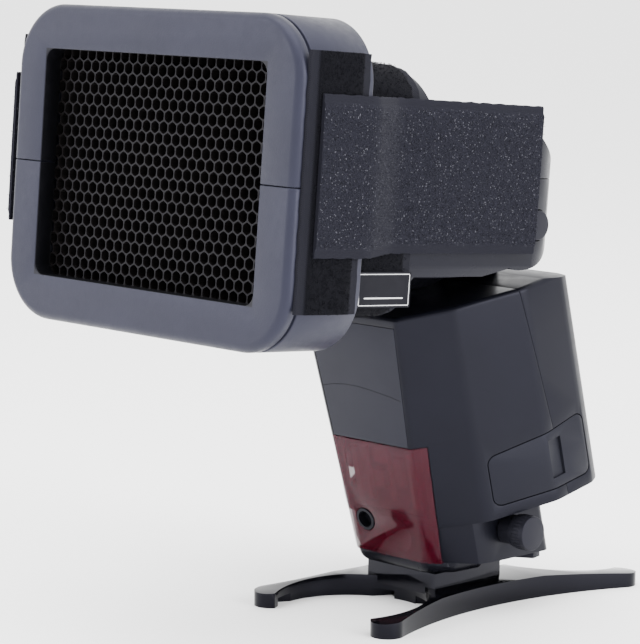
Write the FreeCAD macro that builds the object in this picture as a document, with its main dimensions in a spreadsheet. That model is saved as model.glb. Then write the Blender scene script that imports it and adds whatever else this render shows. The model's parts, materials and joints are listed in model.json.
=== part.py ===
"""Shoe-mount flash on a mini stand, with a honeycomb grid strapped to its head.

Millimetres.  The origin is the mouth of the thread under the stand, +Z is up, and the
flash looks along -Y.  The flash body leans forward, so its parts are drawn upright and
then turned by the lean.  The head and the grid on it are drawn level and then tipped a few
degrees nose-up about the tilt axle.
"""
import FreeCAD, Part
import Sketcher
import math
import os
from types import SimpleNamespace

Vector = FreeCAD.Vector
Rotation = FreeCAD.Rotation
Placement = FreeCAD.Placement

SIZES = [
    ("lean", 14.5, "forward lean of the flash body, degrees"),
    ("head_tip", 4.45, "nose-up tip of the head at rest, degrees"),
    ("wall", 2.0, "moulded shell wall"),
    # stand
    ("stand_front_x", 22.0, "front leg tip, sideways"),
    ("stand_front_y", 42.0, "front leg tip, forward"),
    ("stand_rear_x", 26.5, "rear leg tip, sideways"),
    ("stand_rear_y", 47.0, "rear leg tip, backward"),
    ("stand_tip", 4.4, "leg tip radius"),
    ("stand_waist", 19.6, "half width between the legs"),
    ("stand_notch_front", 12.0, "front notch depth line"),
    ("stand_notch_rear", 22.0, "rear notch depth line"),
    ("stand_mid", 5.9, "stand height in the middle"),
    ("stand_end", 3.8, "stand height at the tips"),
    ("stand_skirt", 2.2, "skirt wall of the stand"),
    ("stand_hollow", 2.2, "depth of the hollow underneath"),
    ("shoe_floor", 5.9, "height of the shoe floor"),
    ("shoe_half", 14.0, "half width of the shoe block"),
    ("rail_in", 9.45, "inner face of the shoe rails"),
    ("rail_out", 12.6, "outer face of the shoe rails"),
    ("lip_in", 6.5, "inner edge of the shoe lips"),
    ("lip_low", 8.3, "underside of the shoe lips"),
    ("rail_top", 10.0, "top of the shoe rails"),
    ("shoe_length", 24.0, "length of the shoe rails"),
    ("thread_r", 3.175, "quarter-inch tripod thread radius"),
    ("insert_r", 4.6, "threaded insert, outside radius"),
    ("insert_length", 4.6, "threaded insert, length"),
    # foot
    ("foot_low", 6.0, "underside of the metal foot"),
    ("foot_thick", 2.0, "metal foot thickness"),
    ("foot_wide", 18.6, "metal foot width"),
    ("foot_long", 18.0, "metal foot length"),
    ("neck_half", 5.9, "half width of the foot neck"),
    ("block_low", 12.3, "underside of the foot block"),
    ("block_half", 16.0, "half width of the foot block"),
    ("base_low", 13.7, "underside of the base housing"),
    ("lever_low", 10.6, "underside of the lock lever"),
    ("lever_thick", 1.4, "lock lever thickness"),
    ("pin_r", 1.0, "lock pin radius"),
    # flash body, in its own leaning frame
    ("front_y", 14.2, "front face, forward of the lean axis"),
    ("rear_y", 35.4, "rear face, behind the lean axis"),
    ("front_half_low", 12.1, "half width of the front face at the chin"),
    ("front_half_top", 17.1, "half width of the front face at the top"),
    ("facet_x", 27.0, "edge between the two side facets, sideways"),
    ("facet_y", 2.5, "edge between the two side facets, forward"),
    ("seam_x", 35.5, "half width at the seam"),
    ("seam_y", 16.2, "where the side facets turn, behind the lean axis"),
    ("split_y", 23.1, "seam between the front and rear shells, at the foot of the lean axis"),
    ("split_slope", 0.0957, "how far the seam moves forward per millimetre of height"),
    ("rear_x", 37.0, "half width at the back"),
    ("rear_round", 7.0, "rounding of the back corners"),
    ("form_low", 10.0, "lower end of the tapered front form"),
    ("body_low", 27.5, "underside of the side walls"),
    ("body_top", 88.0, "sloping top of the body"),
    ("body_level", 91.0, "level cut over the back of the body"),
    ("window_top", 50.9, "top of the red window"),
    ("window_deep", 3.0, "how far the window cap reaches back"),
    ("window_wall", 1.6, "window thickness"),
    ("base_half", 24.0, "half width of the base housing"),
    ("base_rear", 23.0, "back of the base housing"),
    ("cover_low", 31.0, "lower edge of the terminal cover"),
    ("cover_top", 44.8, "upper edge of the terminal cover"),
    ("cover_rear", 29.4, "rear end of the terminal cover"),
    ("cover_rise", 3.6, "extra height at the rear of the terminal cover"),
    ("cover_thick", 1.3, "terminal cover thickness"),
    ("recess_deep", 1.7, "depth of the recesses under the side covers"),
    ("door_low", 32.0, "lower edge of the battery door"),
    ("door_top", 62.0, "upper edge of the battery door"),
    ("door_slide", 3.0, "slide of the battery door before it swings"),
    ("cell_r", 7.1, "battery cell radius"),
    ("cell_length", 50.0, "battery cell length"),
    ("display_wide", 44.0, "display window width"),
    ("display_low", 64.0, "lower edge of the display window"),
    ("display_top", 84.0, "upper edge of the display window"),
    ("dial_r", 8.0, "select dial radius"),
    ("dial_z", 44.0, "select dial height"),
    # swivel and tilt
    ("turn_y", -10.0, "swivel axis, along Y"),
    ("tilt_z", 111.0, "height of the tilt axis"),
    ("boss_r", 22.0, "swivel boss radius"),
    ("turret_low", 91.35, "underside of the turret"),
    ("turret_top", 92.3, "top of the turret flange"),
    ("turret_half", 19.4, "half width of the turret neck"),
    ("turret_round", 16.4, "rounding of the neck about the tilt axis"),
    ("shaft_r", 8.0, "hollow swivel shaft radius"),
    ("axle_r", 3.0, "tilt axle radius"),
    # head
    ("head_half", 38.0, "half width of the head"),
    ("head_front", 86.0, "front of the head, forward of the origin"),
    ("head_rear", 8.0, "rear end of the head"),
    ("head_low", 92.7, "underside of the head over the turret"),
    ("head_drop", 86.5, "underside of the deeper front of the head"),
    ("head_top", 143.3, "top of the head"),
    ("head_crown", 133.8, "lower top of the head behind the band"),
    ("head_step", 51.4, "where the head's top starts to drop, forward of the origin"),
    ("head_corner", 9.0, "long corner rounding of the head"),
    ("head_round", 14.0, "rear corner rounding of the head"),
    ("head_split", 118.0, "split between the head shells"),
    ("ear_r", 16.7, "rounding of the head's ears about the tilt axis"),
    ("slot_half", 19.9, "half width of the neck slot in the head"),
    ("zoom_travel", 12.0, "travel of the zoom carriage"),
    ("screw_r", 1.5, "zoom lead screw radius"),
    # grid, in the head's frame but measured from the middle of its face
    ("grid_face_y", 106.3, "grid face, forward of the origin"),
    ("grid_face_z", 114.7, "grid face centre, height"),
    ("grid_half", 51.75, "half width of the grid frame"),
    ("grid_tall", 39.75, "half height of the grid frame"),
    ("grid_deep", 24.0, "depth of the grid frame"),
    ("grid_round", 15.5, "outer corner rounding"),
    ("grid_border", 11.3, "border round the opening"),
    ("core_front", 5.0, "recess in front of the honeycomb"),
    ("core_deep", 10.0, "honeycomb depth"),
    ("core_seat", 1.8, "honeycomb edge held behind the border"),
    ("cell_pitch", 3.175, "honeycomb cell pitch"),
    ("cell_web", 0.22, "honeycomb wall"),
    ("pad_wide", 19.8, "loop pad width"),
    ("pad_tall", 61.0, "loop pad length"),
    ("pad_mid", 1.3, "middle of the loop pads above the frame's middle"),
    ("pad_thick", 1.4, "loop pad thickness"),
    ("strap_thick", 1.1, "hook strap thickness"),
    ("strap_wide", 38.0, "hook strap width"),
    ("strap_mid", 3.0, "middle of the hook strap above the grid centre"),
    ("band_wide", 25.0, "loop band width"),
    ("band_front", 77.0, "front edge of the loop band"),
    ("band_thick", 1.4, "loop band thickness"),
]

doc = FreeCAD.newDocument("shoe_mount_flash")
sheet = doc.addObject("Spreadsheet::Sheet", "Sizes")
for row, (alias, number, note) in enumerate(SIZES, start=1):
    sheet.set(f"A{row}", alias)
    sheet.set(f"B{row}", str(number))
    sheet.set(f"C{row}", note)
    sheet.setAlias(f"B{row}", alias)
doc.recompute()


class Size:
    """A number together with the sheet expression that it comes from."""

    def __init__(self, value, text):
        self.value = float(value)
        self.text = text

    def __float__(self):
        return self.value

    def __neg__(self):
        return Size(-self.value, f"(-1 * {self.text})")

    def __add__(self, other):
        return Size(self.value + float(other), f"({self.text} + {as_text(other)})")

    def __sub__(self, other):
        return Size(self.value - float(other), f"({self.text} - {as_text(other)})")

    def __mul__(self, other):
        return Size(self.value * float(other), f"({self.text} * {as_text(other)})")

    def __radd__(self, other):
        return self + other

    def __rmul__(self, other):
        return self * other

    def __rsub__(self, other):
        return -self + other


def as_text(number):
    return number.text if isinstance(number, Size) else f"{float(number):.6f}"


d = SimpleNamespace(**{alias: Size(sheet.get(alias), f"Sizes.{alias}")
                       for alias, number, note in SIZES})


# ---------------------------------------------------------------- building blocks

def bind(thing, prop, size):
    """Set a property, through its sheet expression where the size has one."""
    if isinstance(size, Size):
        thing.setExpression(prop, size.text)
    else:
        setattr(thing, prop, size)


def block(name, x_span, y_span, z_span):
    """A box between three pairs of planes."""
    box = doc.addObject("Part::Box", name)
    for prop, (low, high) in zip(("Length", "Width", "Height"), (x_span, y_span, z_span)):
        bind(box, prop, high - low)
    box.Placement.Base = Vector(float(x_span[0]), float(y_span[0]), float(z_span[0]))
    return box


TURNS = {"Z": Rotation(), "X": Rotation(Vector(0, 1, 0), 90), "Y": Rotation(Vector(1, 0, 0), -90)}


def rod(name, radius, start, length, along="Z"):
    """A cylinder from a start point along a positive axis."""
    cylinder = doc.addObject("Part::Cylinder", name)
    bind(cylinder, "Radius", radius)
    bind(cylinder, "Height", length)
    cylinder.Placement = Placement(Vector(*[float(c) for c in start]), TURNS[along])
    return cylinder


def outline(body, name, points, plane="XY_Plane", height=0.0):
    """A closed polygon sketch whose corners are driven by the sheet."""
    planes = {feature.Role: feature for feature in body.Origin.OriginFeatures}
    sketch = body.newObject("Sketcher::SketchObject", name)
    sketch.AttachmentSupport = [(planes[plane], "")]
    sketch.MapMode = "FlatFace"
    sketch.AttachmentOffset = Placement(Vector(0, 0, float(height)), Rotation())
    corners = [Vector(float(x), float(y), 0) for x, y in points]
    count = len(corners)
    for i in range(count):
        sketch.addGeometry(Part.LineSegment(corners[i], corners[(i + 1) % count]), False)
    for i in range(count):
        sketch.addConstraint(Sketcher.Constraint("Coincident", i, 2, (i + 1) % count, 1))
    for i, point in enumerate(points):
        for kind, size in zip(("DistanceX", "DistanceY"), point):
            index = sketch.addConstraint(Sketcher.Constraint(kind, -1, 1, i, 1, float(size)))
            if isinstance(size, Size):
                sketch.setExpression(f"Constraints[{index}]", size.text)
    return sketch


def slab(name, points, low, high, plane="XY_Plane"):
    """A padded polygon between two heights over one of the origin planes."""
    body = doc.addObject("PartDesign::Body", name)
    sketch = outline(body, name + "_sketch", points, plane, low)
    pad = body.newObject("PartDesign::Pad", name + "_pad")
    pad.Profile = sketch
    bind(pad, "Length", high - low)
    return body


def tapered(name, low_points, high_points, low, high):
    """A ruled loft between two polygons with the same number of corners."""
    body = doc.addObject("PartDesign::Body", name)
    loft = body.newObject("PartDesign::AdditiveLoft", name + "_loft")
    loft.Profile = outline(body, name + "_low", low_points, height=low)
    loft.Sections = [outline(body, name + "_high", high_points, height=high)]
    loft.Ruled = True
    body.Tip = loft
    return body


def round_edges(body, radius, chosen):
    """Fillet the edges of a body that the test picks."""
    doc.recompute()
    base = body.Tip
    names = [f"Edge{i}" for i, edge in enumerate(base.Shape.Edges, start=1) if chosen(edge)]
    fillet = body.newObject("PartDesign::Fillet", body.Name + "_round")
    fillet.Base = (base, names)
    bind(fillet, "Radius", radius)
    return body


def runs_along(edge, direction, near=None):
    """True for a straight edge along a direction, and past a point where one is given."""
    chord = edge.Vertexes[-1].Point - edge.Vertexes[0].Point
    if chord.Length < 0.999 * edge.Length:
        return False
    if abs(chord.normalize().dot(direction)) < 0.97:
        return False
    return near is None or near(edge.CenterOfMass)


def cut(name, base, *tools):
    result = base
    for number, tool in enumerate(tools, start=1):
        step = doc.addObject("Part::Cut", name if number == len(tools) else f"{name}_cut{number}")
        step.Base = result
        step.Tool = tool
        result = step
    return result


def fuse(name, *shapes):
    result = doc.addObject("Part::MultiFuse", name)
    result.Shapes = list(shapes)
    return result


def common(name, *shapes):
    result = doc.addObject("Part::MultiCommon", name)
    result.Shapes = list(shapes)
    return result


def group(name, shapes):
    """Identical loose pieces that share one node."""
    result = doc.addObject("Part::Compound", name)
    result.Links = list(shapes)
    return result


WORLD = Placement()
LEAN = Placement(Vector(), Rotation(Vector(1, 0, 0), float(d.lean)))
TILT_AXLE = Vector(0, float(d.turn_y), float(d.tilt_z))
HEAD = Placement(Vector(), Rotation(Vector(1, 0, 0), -float(d.head_tip)), TILT_AXLE)
GRID = HEAD.multiply(Placement(Vector(0, -float(d.grid_face_y), float(d.grid_face_z)), Rotation()))
NODES = []


def finish(label, thing, frame=WORLD):
    """Name a finished piece and turn it into its place."""
    thing.Label = label
    thing.Placement = frame.multiply(thing.Placement)
    NODES.append(thing)
    return thing


def mirrored(points):
    """A right-hand half outline, front to back, closed on its left-hand mirror."""
    return list(points) + [(-x, y) for x, y in reversed(points)]


# ---------------------------------------------------------------- stand

def leg_trough(name, tip_x, tip_y):
    """The hollow under one leg, from near the insert out to its tip."""
    reach = math.hypot(float(tip_x), float(tip_y))
    width = d.stand_tip * 2.0 - d.stand_skirt * 2.0
    trough = block(name, (12.0, reach), (-width * 0.5, width * 0.5), (-1.0, d.stand_hollow))
    turn = Rotation(Vector(0, 0, 1), math.degrees(math.atan2(float(tip_y), float(tip_x))))
    trough.Placement = Placement(Vector(), turn).multiply(trough.Placement)
    return trough


def stand_prism(name, height):
    """Four legs joined by concave sides, drawn as arcs and padded."""
    tip = float(d.stand_tip)
    front = Vector(float(d.stand_front_x), -float(d.stand_front_y), 0)
    rear = Vector(float(d.stand_rear_x), float(d.stand_rear_y), 0)
    waist = float(d.stand_waist)
    body = doc.addObject("PartDesign::Body", name)
    planes = {feature.Role: feature for feature in body.Origin.OriginFeatures}
    sketch = body.newObject("Sketcher::SketchObject", name + "_sketch")
    sketch.AttachmentSupport = [(planes["XY_Plane"], "")]
    sketch.MapMode = "FlatFace"
    tips = [(front, -1), (rear, 1)]
    ends = []
    for centre, side in tips:
        out = Vector(centre.x, centre.y, 0).normalize()
        left = Vector(-out.y, out.x, 0)
        ends.append((centre - left * tip, centre + out * tip, centre + left * tip))
    flip = lambda point: Vector(-point.x, point.y, 0)
    arcs = [
        ends[0],
        (ends[0][2], Vector(waist, 2.0, 0), ends[1][0]),
        ends[1],
        (ends[1][2], Vector(0, float(d.stand_notch_rear), 0), flip(ends[1][2])),
        (flip(ends[1][2]), flip(ends[1][1]), flip(ends[1][0])),
        (flip(ends[1][0]), Vector(-waist, 2.0, 0), flip(ends[0][2])),
        (flip(ends[0][2]), flip(ends[0][1]), flip(ends[0][0])),
        (flip(ends[0][0]), Vector(0, -float(d.stand_notch_front), 0), ends[0][0]),
    ]
    for start, middle, end in arcs:
        sketch.addGeometry(Part.Arc(start, middle, end), False)
    pad = body.newObject("PartDesign::Pad", name + "_pad")
    pad.Profile = sketch
    bind(pad, "Length", height)
    return body


def build_stand():
    """Four-legged plastic stand with a cold shoe and a brass tripod insert."""
    reach = d.stand_rear_y + 8.0
    flat = 20.0
    plate = stand_prism("stand_form", d.stand_mid)
    crown = slab("stand_crown", [(-reach, 0.0), (reach, 0.0), (reach, d.stand_end - 0.5),
                                 (flat, d.stand_mid), (-flat, d.stand_mid),
                                 (-reach, d.stand_end - 0.5)], -40.0, 40.0, "YZ_Plane")
    legs = common("stand_legs", plate, crown)
    troughs = [leg_trough(f"leg_trough_{i}", side * d.stand_front_x, -d.stand_front_y)
               for i, side in enumerate((-1, 1))]
    troughs += [leg_trough(f"leg_trough_{i + 2}", side * d.stand_rear_x, d.stand_rear_y)
                for i, side in enumerate((-1, 1))]
    half = d.shoe_length * 0.5
    deck = block("shoe_deck", (-d.shoe_half, d.shoe_half), (-half - 2.0, half), (4.0, d.shoe_floor))
    rails = []
    for side in (-1, 1):
        outer = sorted((side * d.rail_in, side * d.rail_out), key=float)
        lip = sorted((side * d.lip_in, side * d.rail_out), key=float)
        rails.append(block(f"rail_{side + 1}", outer, (-half, half), (d.shoe_floor - 1.0, d.rail_top)))
        rails.append(block(f"lip_{side + 1}", lip, (-half, half), (d.lip_low, d.rail_top)))
    stop = block("shoe_stop", (-d.rail_out, d.rail_out), (-half - 2.0, -half + 2.0),
                 (d.shoe_floor - 1.0, d.rail_top))
    channel = block("shoe_channel", (-5.0, 5.0), (-half + 2.0, half + 14.0), (d.shoe_floor - 1.0, 9.0))
    bore = rod("insert_seat", d.insert_r, (0, 0, -1.0), d.insert_length + 1.0)
    whole = fuse("stand_whole", legs, deck, stop, *rails)
    finish("stand_plate", cut("stand_plate", whole, bore, channel, *troughs))
    tube = rod("insert_tube", d.insert_r, (0, 0, 0), d.insert_length)
    thread = rod("insert_thread", d.thread_r, (0, 0, -1.0), d.insert_length + 2.0)
    finish("tripod_insert", cut("tripod_insert", tube, thread))


# ---------------------------------------------------------------- foot and lock

LEVER_Y = 13.0
PIN_Y = 5.5
CONTACTS = [(0.0, 0.0, 1.3), (-3.4, -2.6, 0.8), (3.4, -2.6, 0.8), (-3.4, 2.2, 0.8), (3.4, 2.2, 0.8)]


def build_foot():
    """Metal shoe foot with contacts, plastic neck and block, quick-lock lever and pin."""
    top = d.foot_low + d.foot_thick
    half_wide = d.foot_wide * 0.5
    half_long = d.foot_long * 0.5
    plate = block("foot_form", (-half_wide, half_wide), (-half_long, half_long), (d.foot_low, top))
    holes = [rod(f"contact_hole_{i}", r + 0.05, (x, y, d.foot_low - 1.0), 4.0)
             for i, (x, y, r) in enumerate(CONTACTS)]
    holes.append(rod("pin_hole", d.pin_r + 0.3, (0, PIN_Y, d.foot_low - 1.0), 4.0))
    finish("foot_plate", cut("foot_plate", plate, *holes))
    pins = [rod(f"contact_{i}", r, (x, y, d.foot_low - 0.6), 2.6) for i, (x, y, r) in enumerate(CONTACTS)]
    finish("foot_contacts", group("foot_contacts", pins))
    neck = block("foot_neck", (-d.neck_half, d.neck_half), (-half_long + 0.5, 8.6), (top, d.block_low))
    cap = block("foot_cap", (-d.block_half, d.block_half), (-13.0, 16.0), (d.block_low, d.base_low - 0.05))
    pivot = rod("lever_pivot", 1.5, (0, LEVER_Y, d.lever_low - 0.3), d.block_low - d.lever_low + 0.4)
    bore = rod("pin_bore", d.pin_r + 0.05, (0, PIN_Y, d.foot_low), 9.0)
    socket = block("release_socket", (-12.6, -6.4), (12.4, 17.0), (d.block_low - 0.1, 20.0))
    finish("foot_block", cut("foot_block", fuse("foot_mass", neck, cap, pivot), bore, socket))
    finish("lock_pin", rod("lock_pin", d.pin_r, (0, PIN_Y, d.foot_low - 0.8), 6.0))
    high = d.lever_low + d.lever_thick
    hub = rod("lever_hub", 3.6, (0, LEVER_Y, d.lever_low), d.lever_thick)
    arm = slab("lever_arm", [(0.0, 10.6), (14.0, 14.5), (19.5, 18.0), (18.6, 21.6), (12.0, 19.4),
                             (0.0, 16.4)], d.lever_low, high)
    eye = rod("lever_eye", 1.56, (0, LEVER_Y, 10.0), 10.0)
    finish("lock_lever", cut("lock_lever", fuse("lever_mass", hub, arm), eye))
    release_span = (d.block_low + 0.2, d.base_low - 0.4)
    finish("lock_release", block("lock_release", (-12.2, -6.8), (14.0, 17.8), release_span))


# ---------------------------------------------------------------- flash body

def front_half(height):
    """Half width of the tapered front face at a height in the leaning frame."""
    rise = (height - d.form_low) * (1.0 / (float(d.body_top) - float(d.form_low)))
    gain = d.front_half_top - d.front_half_low
    return Size(float(d.front_half_low) + float(gain) * float(rise),
                f"({d.front_half_low.text} + {gain.text} * {as_text(rise)})")


def body_points(height, inset=0.0):
    """Plan outline of the body at a height, moved inward by an inset."""
    slope = 0.42 * inset
    return mirrored([
        (front_half(height) - slope, inset - d.front_y),
        (d.facet_x - inset * 0.95, slope - d.facet_y),
        (d.seam_x - inset, d.seam_y - 0.15 * inset),
        (d.rear_x - inset, d.rear_y - d.rear_round),
        (d.rear_x - d.rear_round * 0.293 - inset * 0.7, d.rear_y - d.rear_round * 0.293 - inset * 0.7),
        (d.rear_x - d.rear_round, d.rear_y - inset),
    ])


def body_form(name, low, high, inset=0.0):
    return tapered(name, body_points(low, inset), body_points(high, inset), low, high)


def world_block(name, x_span, y_span, z_span):
    """A level box as seen from the leaning frame."""
    box = block(name, x_span, y_span, z_span)
    box.Placement = LEAN.inverse().multiply(box.Placement)
    return box


def leaning(y, z):
    """A level (y, z) place given in the leaning frame."""
    point = LEAN.inverse().multVec(Vector(0, float(y), float(z)))
    return point.y, point.z


def build_body():
    """Front and rear shells, base housing, red window, lamp block and name panel."""
    far = 60.0
    skin = body_form("body_skin", d.body_low, d.body_top)
    skin_high = world_block("level_top", (-far, far), (-far, far), (d.body_level, 130.0))
    boss = rod("swivel_boss", d.boss_r, (0, d.turn_y, 84.6), d.body_level - 84.6)
    boss.Placement = LEAN.inverse().multiply(boss.Placement)
    outer = fuse("body_outer", cut("body_level_cut", skin, skin_high), boss)
    hollow = body_form("body_hollow", d.body_low + d.wall, d.body_top - d.wall, float(d.wall))
    keep = rod("boss_keep", 15.0, (0, d.turn_y, 84.6), 6.0)
    keep.Placement = LEAN.inverse().multiply(keep.Placement)
    roof = world_block("cavity_roof", (-far, far), (-far, far), (d.body_level - 1.8, 130.0))
    hollow = cut("body_cavity", hollow, keep, roof)
    shaft = rod("swivel_hole", d.shaft_r + 0.06, (0, d.turn_y, 70.0), 30.0)
    shaft.Placement = LEAN.inverse().multiply(shaft.Placement)
    recess = side_recess("cover_recess", cover_region("cover_recess_region", 0.3))
    doorway = side_recess("door_recess", side_region("door_recess_region", -1, [
        (0.7, d.door_low - d.door_slide - 0.4), (32.3, d.door_low - d.door_slide - 0.4),
        (32.3, d.door_top + 0.3), (0.7, d.door_top + 0.3)]))
    chamber = block("cell_doorway", (-40.0, -22.0), (3.4, 30.6), (d.door_low + 2.0, d.door_top - 2.0))
    hinge_room = rod("hinge_room", 2.45, (*HINGE, d.door_low - 1.6), 31.0)
    window_room = block("window_room", (-20.0, 20.0), (-20.0, d.window_deep + 0.25 - d.front_y),
                        (0.0, d.window_top + 0.15))
    trim = panel_form("panel_trim", 0.15, 1.55, d.window_top + 0.1, 85.2)
    sockets = rod("socket_hole", 5.3, (20.0, SOCKET_Y, 38.5), 20.0, "X")
    thread = rod("bracket_hole", 4.3, (20.0, NUT_Y, 39.5), 20.0, "X")
    high = 130.0
    split_high = d.split_y - d.split_slope * high
    front_half_space = slab("front_space", [(-far, 0.0), (d.split_y, 0.0), (split_high, high), (-far, high)],
                            -far, far, "YZ_Plane")
    rear_half_space = slab("rear_space", [(d.split_y + 0.12, 0.0), (far, 0.0), (far, high),
                                          (split_high + 0.12, high)],
                           -far, far, "YZ_Plane")
    shell = cut("body_shell", outer, hollow, shaft, recess, doorway, chamber, hinge_room, sockets, thread)
    front = common("front_half_form", shell, front_half_space)
    finish("front_shell", cut("front_shell", front, window_room, trim), LEAN)
    rear = common("rear_half_form", shell, rear_half_space)
    finish("rear_shell", cut("rear_shell", rear, *rear_holes()), LEAN)

    panel = panel_form("panel_form", 0.0, 1.35, d.window_top + 0.25, 85.05)
    finish("front_panel", common("front_panel", panel, body_form("panel_skin", 30.0, d.body_top)), LEAN)

    base_top = d.body_low - 0.12
    base = slab("base_form", mirrored([(d.front_half_low + 2.5, d.window_deep + 0.25 - d.front_y),
                                       (23.0, -4.4), (d.base_half, 0.0), (d.base_half, d.base_rear)]),
                2.0, base_top)
    base = round_edges(base, 3.0, lambda e: runs_along(e, Vector(0, 0, 1), lambda c: c.y > 20.0))
    under = world_block("base_under", (-far, far), (-far, far), (-40.0, d.base_low))
    inner = slab("base_inner", mirrored([(12.0, -4.0), (21.0, 0.0), (21.0, 20.0)]), 20.0, base_top + 5.0)
    barrel = rod("terminal_hole", 2.35, (19.0, *leaning(*TERMINAL)), 30.0, "X")
    finish("base_housing", cut("base_housing", base, under, inner, barrel), LEAN)

    lamp_front = d.window_deep + 0.4 - d.front_y
    finish("lamp_block", block("lamp_block", (-12.0, 12.0), (lamp_front, -5.6), (30.0, 49.6)), LEAN)
    barrel = rod("sensor_barrel", 3.25, (SENSOR_X, 0.15 - d.front_y, SENSOR_Z), 2.95, "Y")
    eye = rod("sensor_eye", 2.3, (SENSOR_X, -20.0, SENSOR_Z), 8.0, "Y")
    finish("slave_sensor", cut("slave_sensor", barrel, eye), LEAN)

    low = d.form_low
    window = tapered("window_form", body_points(low), body_points(d.window_top), low, d.window_top)
    slice_box = block("window_slice", (-front_half(d.window_top) - 3.2, front_half(d.window_top) + 3.2),
                      (-20.0, d.window_deep - d.front_y), (low - 1.0, d.window_top + 1.0))
    hollow = tapered("window_hollow", body_points(low, float(d.window_wall)),
                     body_points(d.window_top - 1.4, float(d.window_wall)), low - 5.0, d.window_top - 1.4)
    cap = common("window_cap", window, slice_box)
    eye = rod("window_eye", 3.4, (SENSOR_X, -20.0, SENSOR_Z), 20.0, "Y")
    under = world_block("window_under", (-far, far), (-far, far), (-40.0, d.base_low))
    finish("sensor_window", cut("sensor_window", cap, hollow, eye, under), LEAN)


def panel_form(name, spare, deep, low, high):
    """The name panel's outline, which widens with the front face as it rises."""
    wide_low = front_half(low) - 0.9 + spare
    wide_high = front_half(high) - 0.9 + spare
    return slab(name, [(-wide_low, low), (wide_low, low), (wide_high, high), (-wide_high, high)],
                d.front_y - deep, 20.0, "XZ_Plane")


def side_region(name, side, corners):
    """A block that crosses one side wall, with an outline in the leaning YZ plane."""
    low, high = (20.0, 60.0) if side > 0 else (-60.0, -20.0)
    return slab(name, corners, low, high, "YZ_Plane")


def cover_region(name, spare):
    """The terminal cover's outline, a little taller at the back, with a clearance round it."""
    front, rear = -spare, d.cover_rear + spare
    low, high = d.cover_low - spare, d.cover_top + spare
    region = side_region(name, 1, [(front, low), (rear, low), (rear, high + d.cover_rise), (front, high)])
    return round_edges(region, 2.4 + spare, lambda e: runs_along(e, Vector(1, 0, 0)))


def inset_form(name, inset):
    """The body's plan outline over the whole height of the side covers."""
    low, high = 26.0, 66.0
    return tapered(name, body_points(low, inset), body_points(high, inset), low, high)


def side_recess(name, region):
    """A shallow pocket that follows the side wall."""
    return cut(name, region, inset_form(name + "_inside", float(d.recess_deep)))


def skin_patch(name, region, thick):
    """A cover that follows the side wall."""
    skin = common(name + "_skin", region, inset_form(name + "_outside", 0.0))
    return cut(name + "_patch", skin, inset_form(name + "_inside", thick))


SENSOR_X = -7.4
SENSOR_Z = 27.3
SOCKET_Y = 11.2
HINGE = (-27.2, 1.7)
NUT_Y = 22.5
TERMINAL = (1.2, 22.4)
BUTTON_X = [-18.0, -6.0, 6.0, 18.0]
BUTTON_Z = 58.0
BUTTON_NAMES = ["mode_button", "sync_button", "zoom_button", "light_button"]


def rear_holes():
    """Openings of the back: display, four buttons, dial, switch slot, test button, lamp."""
    back = (30.0, 40.0)
    half = d.display_wide * 0.5
    holes = [block("display_hole", (-half, half), back, (d.display_low, d.display_top))]
    for i, x in enumerate(BUTTON_X):
        holes.append(block(f"button_hole_{i}", (x - 4.3, x + 4.3), back, (BUTTON_Z - 2.3, BUTTON_Z + 2.3)))
    holes.append(rod("dial_hole", d.dial_r + 0.4, (0, 30.0, d.dial_z), 10.0, "Y"))
    holes.append(block("switch_hole", (14.4, 25.6), back, (41.6, 46.4)))
    holes.append(rod("test_hole", 3.4, (-20.0, 30.0, d.dial_z), 10.0, "Y"))
    return holes


def build_controls():
    """Display, buttons, select dial with its set button, power switch and test button."""
    half = d.display_wide * 0.5
    gap = 0.15
    glass = block("display_window", (gap - half, half - gap), (d.rear_y - 1.6, d.rear_y - 0.1),
                  (d.display_low + gap, d.display_top - gap))
    finish("display_window", glass, LEAN)
    finish("display_module", block("display_module", (-22.5, 22.5), (d.rear_y - 3.9, d.rear_y - 2.3),
                                   (63.6, 83.4)), LEAN)
    for name, x in zip(BUTTON_NAMES, BUTTON_X):
        cap = block(name + "_cap", (x - 4.0, x + 4.0), (33.2, d.rear_y + 1.1),
                    (BUTTON_Z - 2.0, BUTTON_Z + 2.0))
        flange = block(name + "_flange", (x - 5.0, x + 5.0), (32.1, 33.25), (BUTTON_Z - 2.9, BUTTON_Z + 2.9))
        finish(name, fuse(name, cap, flange), LEAN)
    ring = rod("dial_ring", d.dial_r, (0, 32.6, d.dial_z), 5.0, "Y")
    eye = rod("dial_eye", 3.75, (0, 30.0, d.dial_z), 10.0, "Y")
    finish("select_dial", cut("select_dial", ring, eye), LEAN)
    finish("set_button", rod("set_button", 3.4, (0, 32.2, d.dial_z), 5.2, "Y"), LEAN)
    knob = block("switch_knob", (15.0, 19.0), (33.2, d.rear_y + 1.3), (42.2, 45.8))
    foot = block("switch_foot", (13.6, 20.4), (32.1, 33.25), (41.0, 47.0))
    finish("power_switch", fuse("power_switch", knob, foot), LEAN)
    cap = rod("test_cap", 3.0, (-20.0, 33.0, d.dial_z), 4.2, "Y")
    flange = rod("test_flange", 4.2, (-20.0, 32.2, d.dial_z), 1.0, "Y")
    finish("test_button", fuse("test_button", cap, flange), LEAN)
    finish("control_board", block("control_board", (-30.0, 30.0), (30.45, 31.25), (37.0, 83.4)), LEAN)


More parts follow.
